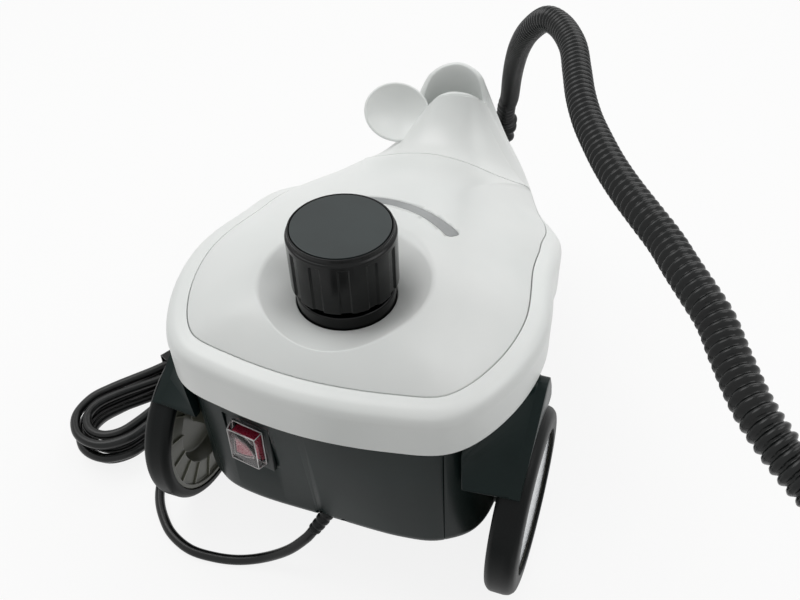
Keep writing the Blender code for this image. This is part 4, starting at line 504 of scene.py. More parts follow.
TAIL_SHARES = ((0.24, 0.90, 1.02), (0.5, 1.22, 0.97), (0.72, 1.42, 0.78), (0.92, 1.55, 0.52))


def hank_place(along, across, height):
    """Places measured along and across the hank, in the world."""
    c, s = math.cos(HANK_TURN), math.sin(HANK_TURN)
    return np.stack(np.broadcast_arrays(
        HANK_MIDDLE[0] + along * c + across * s, HANK_MIDDLE[1] + along * s - across * c, height), -1)


def hank_height(layer):
    """The height of the cord's middle in a layer, above the tie that lies under the hank."""
    return CORD_RADIUS + TIE_WALL + 2 * TINY + HANK_RISE * layer


def hank_line(s):
    """The cord after s loops: two straight runs drawn in at the waist and two round ends, each
    layer spiralling in or out, with a climb between layers."""
    passed = np.minimum(s / HANK_REACH, HANK_LAYERS - 1e-9)
    whole = np.floor(passed)
    inward = np.where(whole % 2 == 0, passed - whole, 1 - passed + whole)
    half = HANK_HALF - HANK_STEP * HANK_REACH * inward
    steps = np.arange(1, HANK_LAYERS)[:, None] * HANK_REACH
    layer = np.clip((s[None] - steps) / HANK_CLIMB + 0.5, 0, 1).sum(0)
    mean = HANK_HALF - HANK_STEP * HANK_REACH / 2
    run = HANK_RUN / (2 * HANK_RUN + 2 * math.pi * mean)
    turn = s % 1.0
    bend = np.abs(np.where(turn < 0.5, turn, turn - 0.5) - 0.25) <= (0.5 - run) / 2
    first = np.where(turn < 0.5, 1.0, -1.0)
    angle = math.pi * (np.where(turn < 0.5, turn, turn - 0.5) - run / 2) / (0.5 - run)
    far = (turn > 0.25) & (turn < 0.75)
    near = np.where(far, turn - 0.5, np.where(turn > 0.5, turn - 1, turn)) / run
    flip = np.where(far, -1.0, 1.0)
    draw = HANK_WAIST * np.cos(math.pi * near) ** 2
    along = np.where(bend, (HANK_RUN / 2 + half * np.sin(angle)) * first, flip * HANK_RUN * near)
    across = np.where(bend, half * np.cos(angle) * first, flip * (half - draw))
    return hank_place(along, across, hank_height(layer))


loops = HANK_LAYERS * HANK_REACH
hank = hank_line(np.linspace(0, loops, round(24 * loops) + 1))
hank_lead = hank_place(2 * CORD_RADIUS, 0, 0) - hank_place(0, 0, 0)
hank = np.vstack([hank[:1] - hank_lead, hank, hank[-1:] + hank_lead])
hank_way = (hank[1] - hank[0]) / np.linalg.norm(hank[1] - hank[0])
relief_path = smooth(RELIEF_WAY, 0.0008)
relief_way = last_way(relief_path)
cord_start = relief_path[-1] + relief_way * TINY
cord_end = hank[0] - hank_way * TINY
free = led([cord_start, cord_start + relief_way * 2 * CORD_RADIUS, *CORD_WAY,
            cord_end - hank_way * 2 * CORD_RADIUS, cord_end], PATH_STEP)
top = hank_height(HANK_LAYERS - 1)
tail = [hank[-1] + hank_way * TINY, hank[-1] + hank_way * (TINY + 2 * CORD_RADIUS)] + [
    hank_place(a * HANK_RUN, b * HANK_HALF, c * top) for a, b, c in TAIL_SHARES]
level_way = (tail[-1] - tail[-2]) * (1, 1, 0)
level_way /= np.linalg.norm(level_way)
tail = led(tail + [tail[-1] + level_way * 2 * CORD_RADIUS], PATH_STEP)
CORD_STEP = 0.0025
cord_path = evenly(np.vstack([free, smooth(hank, PATH_STEP)[1:], tail[1:]]), CORD_STEP)

# PVC cord sheath: black, fairly glossy, with faint lengthwise unevenness from the lay of its cores.
cord_sheath = moulded("extruded PVC sheath", "0A0C0C", "060707", 0.30, 1.6, 0.10, 30.0, ior=1.38)
CORE_LAY, CORE_RELIEF = 0.09, 0.00006
mains_cord = carried("mains_cord_run", cord_path, lambda along, angle: CORD_RADIUS - CORE_RELIEF * (
    1 + np.cos(3 * angle - along * 2 * math.pi / CORE_LAY)), 20, cord_sheath)
shown(mains_cord, "cord", "power_cord", "power_cord_hank", "power_cord_tail")

relief_length = lengths(relief_path)[-1]
RELIEF_ROOT, RELIEF_TIP, RELIEF_CUT = 0.0060, 0.0046, 0.0008


def slotted(along, angle):
    """A taper with staggered cuts half-way round it, so that it bends evenly."""
    share = along / relief_length
    ring = (share * 7) % 1.0
    cut = np.exp(-((ring - 0.5) / 0.16) ** 2) * (share > 0.30) * (share < 0.95)
    return RELIEF_ROOT + (RELIEF_TIP - RELIEF_ROOT) * share - RELIEF_CUT * cut


strain_relief = carried("strain_relief_sleeve", relief_path, slotted, 40, moulded_rubber)
shown(strain_relief, "rubber", "cord_strain_relief")

# The tie: a flat rubber band round the hank's waist.
tie_half = HANK_HALF - HANK_WAIST + CORD_RADIUS + 3 * TINY
tie_low, tie_high = TIE_WALL + TINY, hank_height(HANK_LAYERS - 1) + CORD_RADIUS + 2 * TINY


def tie_loop(wall):
    """A rounded rectangle across the hank, as far out as the wall says."""
    angle = circle(96) + math.pi / 96
    reach = TIE_ROUND + wall
    across = np.sign(np.cos(angle)) * (tie_half - TIE_ROUND) + reach * np.cos(angle)
    height = np.where(np.sin(angle) > 0, tie_high - TIE_ROUND, tie_low + TIE_ROUND)
    return across, height + reach * np.sin(angle)


tie_rows = []
for along, wall in ringed([(0.5, 0.0), (0.5, TIE_WALL), (-0.5, TIE_WALL), (-0.5, 0.0)], 0.0003):
    across, height = tie_loop(wall)
    tie_rows.append(hank_place(along * TIE_WIDTH, across, height))
cord_tie = skin("cord_tie_band", np.array(tie_rows), moulded_rubber, round_rows=True)
shown(cord_tie, "rubber", "cord_tie")

# The plug: moulded rubber on two round brass pins, with finger ribs down its neck.
plug_way = Vector(tail[-1] - tail[-2])
plug_way.z = 0
plug_way.normalize()
plug_side = np.array((plug_way.y, -plug_way.x, 0))
plug_way = np.array(plug_way)
plug_end = tail[-1] + plug_way * TINY
PLUG_WIDE, PLUG_LONG, PLUG_THICK, PLUG_NECK, GRIP_PITCH = 0.034, 0.046, 0.019, 0.0062, 0.0036
station = np.linspace(0, 1, 60)[:, None]
reach = np.sqrt(np.clip(1 - (np.clip(np.abs(station - 0.5) - 0.485, 0, 1) / 0.015) ** 2, 0.05, 1))
ribs = 1 - 0.10 * np.exp(-(((station * PLUG_LONG / GRIP_PITCH) % 1 - 0.5) / 0.2) ** 2) * (station < 0.38)
wide, thick = (np.interp(station, [0, 0.35, 0.5, 0.8, 1], [
    PLUG_NECK, PLUG_NECK * 1.1, size * share, size / 2, size / 2]) * reach * ribs
    for size, share in ((PLUG_WIDE, 0.4), (PLUG_THICK, 0.45)))
angle = circle(64)[None]
squared = [np.sign(v) * np.abs(v) ** 0.7 for v in (np.cos(angle), np.sin(angle))]
plug_grid = (plug_end + plug_way * (station * PLUG_LONG)[..., None]
             + plug_side * (squared[0] * wide)[..., None]
             + np.array((0, 0, 1)) * (squared[1] * thick)[..., None])
plug_body = skin("plug_body_moulding", plug_grid, moulded_rubber)
shown(plug_body, "rubber", "plug_body")

# Upper shell
# One glossy white ABS moulding: a skirt, a rounded shoulder and a band round the cover, which
# rises at the nose into the holster's neck and carries the dished lobe at its side.

BODY_HALF, BODY_REAR, BODY_NOSE = 0.124, -0.082, 0.298
OUTLINE = np.array([
    (0.0, 0.0), (0.42, 0.013), (0.73, 0.045), (0.92, 0.14), (1.0, 0.268), (0.94, 0.413),
    (0.925, 0.492), (0.885, 0.571), (0.80, 0.637), (0.665, 0.708), (0.525, 0.808),
    (0.375, 0.90), (0.215, 0.975), (0.0, 1.0),
])
DENSE = 720
SKIRT_BOTTOM, SHELL_WALL = 0.165, 0.0025
BAND_WIDTH, BAND_RISE = 0.0145, 0.035
FALL_START, FALL_END, FALL = 0.030, 0.200, 0.030
COVER_END, CROWN, SADDLE, CROWN_POWER = 0.187, 0.225, 0.192, 3.0
CORNER_END, SWEEP_POWER, ARCH_POWER, EDGE_POWER = 0.205, 5.0, 0.55, 6.0
BAND_START, BAND_STOP, BAND_SHARE, RISE_SHARE = 0.108, 0.188, 0.06, 0.58
SKIRT_RISE = 0.0205
FRONT_POINTS = 120


def plan(half, rear, nose, at, outline=OUTLINE):
    """The pear outline of one level, anticlockwise from the rear middle."""
    left = outline[1:-1][::-1] * (-1, 1)
    return closed_curve(np.vstack([outline, left]), at) * (half, nose - rear) + (0.0, rear)


fine = np.linspace(0, 2 * len(OUTLINE) - 2, 20 * DENSE, endpoint=False)
line = plan(BODY_HALF, BODY_REAR, BODY_NOSE, fine)
along = lengths(np.vstack([line, line[:1]]))
EVEN = np.interp(np.linspace(0, along[-1], DENSE, endpoint=False), along,
                 np.append(fine, 2 * len(OUTLINE) - 2))


def inset(loop, distance):
    """A closed anticlockwise loop moved inwards, square to itself."""
    way = np.roll(loop, -1, axis=0) - np.roll(loop, 1, axis=0)
    way /= np.linalg.norm(way, axis=1)[:, None]
    return loop + np.column_stack([-way[:, 1], way[:, 0]]) * distance


def fall(y):
    """How far the seam and the skirt have come down at y on their way to the nose."""
    t = np.clip((y - FALL_START) / (FALL_END - FALL_START), 0, 1)
    return FALL * t * t * (3 - 2 * t)


def level(half, rear, nose, distance, height, falls=True, every=1, outline=OUTLINE):
    """One level's outline, set in, at a height that falls to the nose."""
    flat = inset(plan(half, rear, nose, EVEN, outline), distance)[::every]
    return np.column_stack([flat, height - (fall(flat[:, 1]) if falls else 0 * flat[:, 1])])


def shell_level(distance, rise, every=1):
    """One level of the shell, set in by a distance, at a rise over the skirt's bottom."""
    return level(BODY_HALF, BODY_REAR, BODY_NOSE, distance, SKIRT_BOTTOM + rise, True, every)


def shell_row(distance, rise):
    """One level of the shell: from the cap to the nose the rises shrink by a smooth step, and what
    lies past the skirt's wall draws out to it."""
    row = shell_level(distance, rise)
    t = np.clip((row[:, 1:2] - BAND_START) / (BAND_STOP - BAND_START), 0, 1)
    low = shell_level(distance * (BAND_SHARE if rise > SKIRT_RISE else 1), rise * RISE_SHARE)
    return row + (low - row) * t * t * (3 - 2 * t)


SKIRT_PROFILE = rounded([(0.0025, 0.020), (0.0025, 0.0), (0.0, 0.0), (0.0, 0.019)], 0.0009)
SHOULDER_PROFILE = smooth([
    (0.0, 0.0215), (0.0, 0.0255), (0.0018, 0.0303), (0.0058, 0.0332), (0.0105, 0.0343),
    (0.0138, 0.03485)], 0.0007)
SEAM_PROFILE = [
    (0.0138, 0.03485), (0.0141, 0.03488), (0.01435, 0.03475), (0.0145, 0.0344), (0.0145, 0.0318)]
skirt_rows = np.array([shell_row(d, rise) for d, rise in [*SKIRT_PROFILE, *SHOULDER_PROFILE]])
seam_line = inset(plan(BODY_HALF, BODY_REAR, BODY_NOSE, EVEN), BAND_WIDTH)[:DENSE // 2, 1]
CORNER = int(np.argmax(seam_line > CORNER_END))
rear_ids = np.arange(-CORNER, CORNER + 1) % DENSE
seam_rows = np.array([shell_row(d, rise) for d, rise in SEAM_PROFILE])[:, rear_ids]

NECK_MIDDLE, NECK_HALF = np.array([-0.006, 0.2445]), np.array([0.0284, 0.0165])
NECK_LOW, NECK_RISE = 0.196, 0.0375
NECK_RIM = np.array([
    (-180.0, 0.28), (-165.0, 0.12), (-146.0, 0.02), (-123.0, 0.33), (-108.0, 0.55), (-92.0, 0.67),
    (-76.0, 0.715), (-53.0, 0.68), (-33.0, 0.573), (-16.0, 0.44), (2.0, 0.347), (20.0, 0.56),
    (42.0, 0.808), (68.0, 0.949), (90.0, 0.984), (117.0, 0.893), (143.0, 0.709), (160.0, 0.493),
])
FLARE_SIDE, FLARE_REAR = 1.1, 2.2
RIM_WALL, RIM_DROP = 0.0042, 0.0011
POCKET_FLOOR = 0.168


def rim_height(angle):
    """The mouth's edge: high at the hood and the tongue, low at both sides."""
    places = np.append(NECK_RIM[:, 0], 180.0)
    turn = (np.degrees(angle) + 180) % 360 - 180
    at = np.interp(turn, places, np.arange(len(places)))
    return NECK_LOW + NECK_RISE * closed_curve(NECK_RIM[:, 1:], at)[:, 0]


def neck_ring(angle, shrink, drop=0.0):
    """The mouth's oval, drawn in by shrink and lowered by drop."""
    flat = NECK_MIDDLE + (NECK_HALF - shrink) * np.column_stack([np.cos(angle), np.sin(angle)])
    return np.column_stack([flat, rim_height(angle) - drop])


band_edge = skirt_rows[-1]
nose_ids = np.arange(CORNER, DENSE - CORNER + 1)
corner = band_edge[CORNER]


def front_line(start, end):
    """The cover's front edge between two corners: it sweeps back from them by a steep power, and
    arches from their height to the saddle's by a cosine to a small power."""
    x = np.linspace(start[0], end[0], FRONT_POINTS + 2)[1:-1]
    share = np.abs(x / end[0])
    return np.column_stack([x, COVER_END + (end[1] - COVER_END) * share ** SWEEP_POWER,
                            end[2] + (SADDLE - end[2]) * np.cos(share * math.pi / 2) ** ARCH_POWER])


front_edge = front_line(corner * (-1, 1, 1), corner)
neck_edge = np.vstack([band_edge[nose_ids], front_edge])
is_front = np.append(np.zeros(len(nose_ids)), np.ones(len(front_edge)))[:, None]
neck_turn = np.arctan2(*((neck_edge[:, :2] - NECK_MIDDLE) / NECK_HALF).T[::-1])
rim = neck_ring(neck_turn, 0.0)
rearward = np.clip(-np.sin(neck_turn), 0, 1)[:, None] ** 2
power = FLARE_SIDE + (FLARE_REAR - FLARE_SIDE) * rearward
inner = neck_ring(neck_turn, RIM_WALL)
to_floor = np.column_stack([0 * inner[:, :2], POCKET_FLOOR - inner[:, 2]])
# From the cover's edge up to the mouth, over the rim by a half turn, and down to the pocket's floor.
neck_rows = np.array([
    *(neck_edge - is_front * (0, 0.0, drop) for drop in (0.0028, 0.0006, 0.0002)),
    *(neck_edge + (rim - neck_edge) * np.hstack([s + 0 * power, s + 0 * power, s ** power])
      for s in np.linspace(0.012, 0.985, 30)),
    *(neck_ring(neck_turn, RIM_WALL / 2 * (1 - math.cos(t)), RIM_DROP * (1 - math.sin(t)))
      for t in np.linspace(0, math.pi, 9)),
    *(inner + to_floor * t for t in (0.08, 0.3, 0.6, 0.9, 0.98, 1.0))])


def cleaned(mesh, near, short, more):
    """Points nearer than near joined and edges under short gone, and then more done to the mesh."""
    bm = bmesh.new()
    bm.from_mesh(mesh)
    bmesh.ops.remove_doubles(bm, verts=bm.verts, dist=near)
    bmesh.ops.dissolve_degenerate(bm, edges=bm.edges, dist=short)
    more(bm)
    bm.to_mesh(mesh)
    bm.free()


def smoothed(piece, sharp):
    """Smooth shading with the edges over an angle kept sharp."""
    piece.data.shade_smooth()
    piece.data.set_sharp_from_angle(angle=math.radians(sharp))
    return piece


def welded(name, patches, material, sharp=40):
    """One mesh from several grids of points, joined where these meet; each comes with whether its
    columns close into rings."""
    points, faces, count = [], [], 0
    for grid, round_columns in patches:
        index = np.arange(count, count + grid[..., 0].size).reshape(grid.shape[:2])
        points.append(grid.reshape(-1, 3))
        faces.append(quads(index, round_columns, False))
        count += index.size
    piece = meshed(name, np.vstack(points).tolist(), np.vstack(faces).tolist(), material)
    cleaned(piece.data, 2e-6, 1e-6, lambda bm: bmesh.ops.holes_fill(
        bm, edges=[e for e in bm.edges if e.is_boundary], sides=0))
    return smoothed(piece, sharp)


# White ABS: a clean pale grey-white with a soft broad gloss.
white_abs = moulded("moulded white ABS", "E7E9E7", "E1E4E2", 0.34, 0.7, 0.06, 90.0)
shown(welded("upper_shell_moulding", [
    (skirt_rows, True), (seam_rows, False), (neck_rows, True)], white_abs), "white_shell", "upper_shell")

# The dished lobe: a shallow bowl with a rolled rim, moulded on the neck's left side.
SCOOP_MIDDLE = Vector((-0.0461, 0.222, 0.2021))
SCOOP_HALF, SCOOP_DEPTH, SCOOP_WALL = (0.0253, 0.0223), 0.009, 0.0032
scoop_aim = Vector((0.30, -0.70, 0.65)).normalized()
scoop_up = Vector((0.0, -scoop_aim.y * scoop_aim.z, scoop_aim.y * scoop_aim.y)).normalized()
scoop_side = np.array(scoop_up.cross(scoop_aim))
scoop_up, scoop_aim = np.array(scoop_up), np.array(scoop_aim)
angle = circle(128)[None]
t = np.linspace(0, math.pi, 9)
bowl = np.linspace(0.04, 0.97, 18)
scoop_share, scoop_out, scoop_back = (np.concatenate(parts)[:, None] for parts in (
    (bowl, 1 + 0 * t, bowl[::-1]), (0 * bowl, 0.5 * SCOOP_WALL * np.sin(t), 0 * bowl),
    (0 * bowl, 0.5 * SCOOP_WALL * (1 - np.cos(t)), SCOOP_WALL + 0 * bowl)))
depth = SCOOP_DEPTH * (scoop_share ** 2 - 1) - scoop_back + 0 * angle
scoop_grid = (np.array(SCOOP_MIDDLE)
              + scoop_side * ((SCOOP_HALF[0] * scoop_share + scoop_out) * np.cos(angle))[..., None]
              + scoop_up * ((SCOOP_HALF[1] * scoop_share + scoop_out) * np.sin(angle))[..., None]
              + scoop_aim * depth[..., None])
shown(skin("scoop_lobe", scoop_grid[::-1], white_abs), "white_shell")

# Top cover
# The domed panel round the cap, clipped into the shell with a fine seam. It has a sunk dish for
# the cap and a bent slot for the indicator's window.

DISH_RADIUS, DISH_HOLE, DISH_FLOOR = 0.054, 0.0317, 0.2075
LENS_RADIUS, LENS_WIDTH, LENS_HALF, LENS_DEPTH = 0.080, 0.0070, math.radians(37.0), 0.003
LENS_SPREAD, LENS_SUNK = 0.4, 0.00005
SEAM = 0.0006
side_edge = shell_row(BAND_WIDTH + SEAM, BAND_RISE)[rear_ids]
side_edge[[0, -1], 1] -= SEAM
cover_edge = np.vstack([side_edge, front_line(side_edge[-1], side_edge[0]) - (0, SEAM, 0)])
cover_out = np.linalg.norm(cover_edge[:, :2], axis=1)
cover_way = cover_edge[:, :2] / cover_out[:, None]
edge_turn = np.arctan2(cover_edge[:, 0], cover_edge[:, 1])
edge_order = np.argsort(edge_turn)

EDGE_TURNS = np.linspace(-math.pi, math.pi, DENSE, endpoint=False)
SOFT_REACH, SOFT_WIDTH = 60, 16.0
edge_reach, edge_height = (
    np.interp(EDGE_TURNS, edge_turn[edge_order], v[edge_order], period=2 * math.pi)
    for v in (cover_out, cover_edge[:, 2]))
spread_turn = np.exp(-(np.arange(-SOFT_REACH, SOFT_REACH + 1) / SOFT_WIDTH) ** 2)
soft_reach, soft_height = (np.convolve(
    np.concatenate([v[-SOFT_REACH:], v, v[:SOFT_REACH]]), spread_turn / spread_turn.sum(), "valid")
    for v in (edge_reach, edge_height))


def crown_height(x, y):
    """The cover over a place in plan: the crown less a cube law to its edge in that direction,
    taken with the edge's corners smoothed, and drawn to the true edge by a steep power."""
    here, out = np.arctan2(x, y), np.hypot(x, y)
    reach, rim, soft, low = (np.interp(here, EDGE_TURNS, v, period=2 * math.pi)
                             for v in (edge_reach, edge_height, soft_reach, soft_height))
    miss = rim - CROWN + (CROWN - low) * (reach / soft) ** CROWN_POWER
    return CROWN - (CROWN - low) * (out / soft) ** CROWN_POWER + miss * (out / reach) ** EDGE_POWER


def cover_row(reach):
    """One ring of the cover, as far out in each direction as reach says."""
    flat = cover_way * reach[:, None]
    return np.column_stack([flat, crown_height(*flat.T)])


edge_drop = [cover_edge - (0, 0, d) for d in (SHELL_WALL, 0.0009, 0.0004)]
dome = [cover_row(DISH_RADIUS + (cover_out - DISH_RADIUS) * s) for s in (
    0.996, 0.990, *np.linspace(0.97, 0.10, 26))]
lip = cover_row(np.full(len(cover_out), DISH_RADIUS))
floor_ring = np.column_stack([cover_way * DISH_HOLE, np.full(len(cover_way), DISH_FLOOR)])
dish = rounded([dome[-1], lip, floor_ring, floor_ring - (0, 0, SHELL_WALL)], [0.0050, 0.0006], 9)[1:]
under = [*dome[:-1], *rounded([dome[-1], lip, floor_ring], [0.0050], 9)[:-1]]
top_cover = skin("top_cover_panel", np.array([*edge_drop, *dome, *dish] + [
    row - (0, 0, SHELL_WALL) for row in under[::-1]]), white_abs, round_rows=True, sharp=50)
shown(top_cover, "white_shell", "top_cover")


def bar_on_arc(name, grow, top_lift, bottom, material, around=24):
    """A bar bent along an arc on the crown, wider by the square of the turn, with round ends."""
    tip = LENS_HALF + (LENS_WIDTH / 2 + grow) / LENS_RADIUS
    turn = np.concatenate([[-tip], -LENS_HALF - (tip - LENS_HALF) * np.array([0.8, 0.5]),
                           np.linspace(-LENS_HALF, LENS_HALF, 81),
                           LENS_HALF + (tip - LENS_HALF) * np.array([0.5, 0.8]), [tip]])
    share = np.sqrt(1 - (np.clip(np.abs(turn) - LENS_HALF, 0, 1) / (tip - LENS_HALF) * 0.95) ** 2)
    spread = 1 + LENS_SPREAD * (turn / LENS_HALF) ** 2
    half = (LENS_WIDTH / 2 * np.maximum(share, 0.3) * spread + grow)[:, None]
    corners = ringed([(1, 0), (1, 1), (-1, 1), (-1, 0)], 0.12, 4)
    reach = LENS_RADIUS + corners[None, :, 0] * half
    x, y = reach * np.sin(turn)[:, None], reach * np.cos(turn)[:, None]
    z = crown_height(x.ravel(), y.ravel()).reshape(x.shape) + bottom
    z = z + corners[None, :, 1] * (top_lift - bottom)
    return skin(name, np.stack([x, y, z], -1), material)


def settled(piece, cutters=()):
    """The piece with its modifiers made part of its mesh, and the cutters gone."""
    graph = bpy.context.evaluated_depsgraph_get()
    mesh = bpy.data.meshes.new_from_object(piece.evaluated_get(graph))
    piece.modifiers.clear()
    old, piece.data = piece.data, mesh
    bpy.data.meshes.remove(old)
    for cutter in cutters:
        bpy.data.objects.remove(cutter, do_unlink=True)
    return piece


def carved(piece, cutters, operation="DIFFERENCE"):
    """The piece less its cutters, or what another operation leaves of both."""
    for cutter in cutters:
        carve = piece.modifiers.new("Cut", "BOOLEAN")
        carve.operation, carve.object, carve.solver = operation, cutter, "EXACT"
    return settled(piece, cutters)


# The window: a pale smoked acrylic strip, flush with the cover, over the unlit lamp.
smoked_acrylic = moulded("smoked acrylic", "989B9B", "8A8D8D", 0.16, 2.0, 0.02, 25.0)
carved(top_cover, [bar_on_arc("lens_cut", TINY, 0.004, -0.006, white_abs)])
shown(bar_on_arc("indicator_window", 0.0, -LENS_SUNK, -LENS_DEPTH, smoked_acrylic),
      "smoked_lens", "indicator_lens")

# Lower housing
# The black ABS tub under the white shell, with a separate rear panel for the switch and the cord,
# a base plate, and the bushes that carry the axle.

black_abs = moulded("moulded black ABS", "13201F", "101B1A", 0.34, 0.8, 0.08, 60.0, ior=1.23)
FOOT_OUTLINE = np.vstack([OUTLINE[:1], [(0.50, 0.002), (0.78, 0.025), (0.97, 0.095)], OUTLINE[4:]])
TOP_OUTLINE = np.vstack([OUTLINE[:1], [(0.44, 0.013), (0.745, 0.040), (0.94, 0.125)], OUTLINE[4:]])
HOUSING_FOOT, HOUSING_SHOULDER, HOUSING_WALL = 0.050, 0.163, 0.003
FOOT_BEVEL, FOOT_LEDGE, FLANGE_RISE, FLANGE_LIP = 0.007, 0.0025, 0.004, 0.007
PANEL_HALF, PANEL_FRONT, PANEL_TOP = 0.082, -0.030, 0.1624
SCREW_SPOTS = ((-0.0047, -0.065, 0.0607), (0.0130, -0.065, 0.0580))
FOOT_SIZES, TOP_SIZES = (0.107, -0.065, 0.276), (0.110, -0.076, 0.288)
AXLE_BORE, BOOT_BORE, RELIEF_BORE, SCREW_BORE = 0.0083, 0.0143, 0.0063, 0.0026


def housing_foot(distance, height):
    """One level of the tub by the outline of its foot, set in; the sizes are half width, rear, nose."""
    return level(*FOOT_SIZES, distance, height, False, 2, FOOT_OUTLINE)


def housing_top(distance, height):
    """One level of the tub by the outline under the shell, falling to the nose."""
    return level(*TOP_SIZES, distance, height, True, 2, TOP_OUTLINE)


def housing_skin(grow):
    """The housing's outer levels, foot to lip, grown outwards."""
    lip, shelf = SHELL_WALL + TINY, HOUSING_SHOULDER + FLANGE_RISE - SKIRT_BOTTOM
    return [
        housing_foot(FOOT_BEVEL - grow, HOUSING_FOOT - grow),
        housing_foot(-grow, HOUSING_FOOT + FOOT_BEVEL - grow),
        housing_top(-grow, HOUSING_SHOULDER - grow),
        shell_level(lip, shelf - grow, 2), shell_level(lip, shelf + FLANGE_LIP, 2)]


BLOCK_FACES = np.array([
    (0, 2, 3, 1), (4, 5, 7, 6), (0, 1, 5, 4), (2, 6, 7, 3), (0, 4, 6, 2), (1, 3, 7, 5)])


def corners_of(low, high):
    """The eight corners of a box, x quickest and z slowest."""
    shares = np.array([(x, y, z) for z in (0, 1) for y in (0, 1) for x in (0, 1)])
    return shares * (np.array(high) - low) + low


def block(low, high, place=Matrix.Identity(4)):
    """A plain box between two corners, to cut with."""
    return meshed("block", moved(corners_of(low, high), place).tolist(), BLOCK_FACES.tolist())


def drilled(radius, length, middle, way, around=96):
    """A plain cylinder about a line, to cut with."""
    place = Matrix.Translation(Vector(middle)) @ Vector(way).to_track_quat("Z", "Y").to_matrix().to_4x4()
    return revolved("drill", [(radius, -length / 2), (radius, length / 2)], place, black_abs, around)


def bevelled(piece, node, slot, bevel, angle, segments, clamp):
    """A piece in place of its node, with its edges over an angle broken by a small bevel."""
    edge = piece.modifiers.new("Edge", "BEVEL")
    edge.width, edge.segments, edge.limit_method = bevel, segments, "ANGLE"
    edge.angle_limit = math.radians(angle)
    edge.use_clamp_overlap = clamp
    return shown(smoothed(settled(piece), angle), slot, node, body=frame["nodes"][node]["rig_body"])


def finished(piece, node, slot, bevel=0.0004, angle=40):
    """A carved piece in place of its solid, its cut edges broken by a small bevel."""
    cleaned(piece.data, 2e-5, 2e-5, lambda bm: None)
    return bevelled(piece, node, slot, bevel, angle, 2, False)


lip, shelf = SHELL_WALL + TINY + HOUSING_WALL, HOUSING_SHOULDER + FLANGE_RISE - SKIRT_BOTTOM
ledge = FOOT_BEVEL + FOOT_LEDGE
housing_rows = ringed(np.array(housing_skin(0) + [
    shell_level(lip, shelf + FLANGE_LIP, 2), shell_level(lip, shelf + HOUSING_WALL, 2),
    housing_top(HOUSING_WALL, HOUSING_SHOULDER + HOUSING_WALL * 0.8),
    housing_foot(HOUSING_WALL, HOUSING_FOOT + FOOT_BEVEL + ledge),
    housing_foot(ledge, HOUSING_FOOT + FOOT_BEVEL), housing_foot(ledge, HOUSING_FOOT),
]), [0.004, 0.004, 0.0012, 0.0008, 0.0005, 0.0005, 0.0008, 0.001, 0.001, 0.0008, 0.0005])
WHEEL_Y, WHEEL_RADIUS, WHEEL_INNER, WHEEL_WIDTH = -0.013, 0.0653, 0.1139, 0.0205
boot_line = Vector(BOOT_WAY[2]) - Vector(BOOT_WAY[1])
finished(carved(skin("lower_housing_moulding", housing_rows, black_abs, round_rows=True), [
    block((-PANEL_HALF - TINY, -0.2, 0.03), (PANEL_HALF + TINY, PANEL_FRONT + TINY, PANEL_TOP + TINY)),
    drilled(AXLE_BORE, 0.3, (0, WHEEL_Y, WHEEL_RADIUS), (1, 0, 0)),
    drilled(BOOT_BORE, 0.081, BOOT_WAY[1], boot_line)]), "lower_housing", "black_shell")

# The rear panel is cut from the same moulding line; two screws hold it under the cord's exit.
SWITCH_SPOT, SWITCH_YAW, SWITCH_TILT = (-0.0450, -0.0672, 0.1274), math.radians(-9.5), math.radians(-1.7)
SWITCH_PLACE = (Matrix.Translation(SWITCH_SPOT) @ Matrix.Rotation(SWITCH_YAW, 4, "Z")
                @ Matrix.Rotation(SWITCH_TILT, 4, "X"))
TUB_OPENING, BEZEL_RECESS, RECESS_DEPTH, PAST = (0.0128, 0.0178), (0.0175, 0.0212), 0.0012, 0.03
relief_line = Vector(RELIEF_WAY[3]) - Vector(RELIEF_WAY[1])
panel = carved(skin("rear_panel_moulding", housing_rows, black_abs, round_rows=True), [
    block((-PANEL_HALF, -0.2, 0.047), (PANEL_HALF, PANEL_FRONT, PANEL_TOP))], "INTERSECT")
finished(carved(panel, [
    *(block((-wide, -PAST, -tall), (wide, deep, tall), SWITCH_PLACE)
      for (wide, tall), deep in ((TUB_OPENING, PAST), (BEZEL_RECESS, RECESS_DEPTH))),
    drilled(RELIEF_BORE, 0.076, RELIEF_WAY[2], relief_line),
] + [drilled(SCREW_BORE, 0.006, (x, y, z), (0, 1, 0.1), 32) for x, y, z in SCREW_SPOTS]),
    "rear_panel", "black_shell", 0.0004, 35)


def dressed(node, material, bevel=0.0005, angle=35, segments=2, slot=None):
    """A merged smooth copy of a CAD node with its edges broken by a small bevel."""
    mesh = frame["nodes"][node].data.copy()
    cleaned(mesh, 2e-6, 1e-7, lambda bm: bmesh.ops.dissolve_limit(
        bm, angle_limit=math.radians(0.5), verts=bm.verts, edges=bm.edges))
    mesh.materials.clear()
    mesh.materials.append(material)
    return bevelled(linked(node + "_finished", mesh), node, slot, bevel, angle, segments, True)


dressed("base_plate", black_abs, 0.0004, 40, 2, "black_shell")

# The arches: one moulding over each wheel, pushed on to the housing's side.
ARCH_OUTER, ARCH_INNER, ARCH_DRAFT = 0.129, 0.093, 0.18
WELL_GAP, WELL_INNER, WELL_DEEP = 0.0022, 0.112, 0.06
INNER_SHARES = [(-0.69, 1.822), (-0.72, 2.144), (-0.75, 2.6), (1.118, 2.6), (1.24, 2.16), (1.348, 1.822)]
OUTER_SHARES = [(-0.658, 1.822), (-0.138, 2.098), (0.335, 2.42), (0.48, 2.40), (0.66, 2.08),
                (0.74, 1.84)]


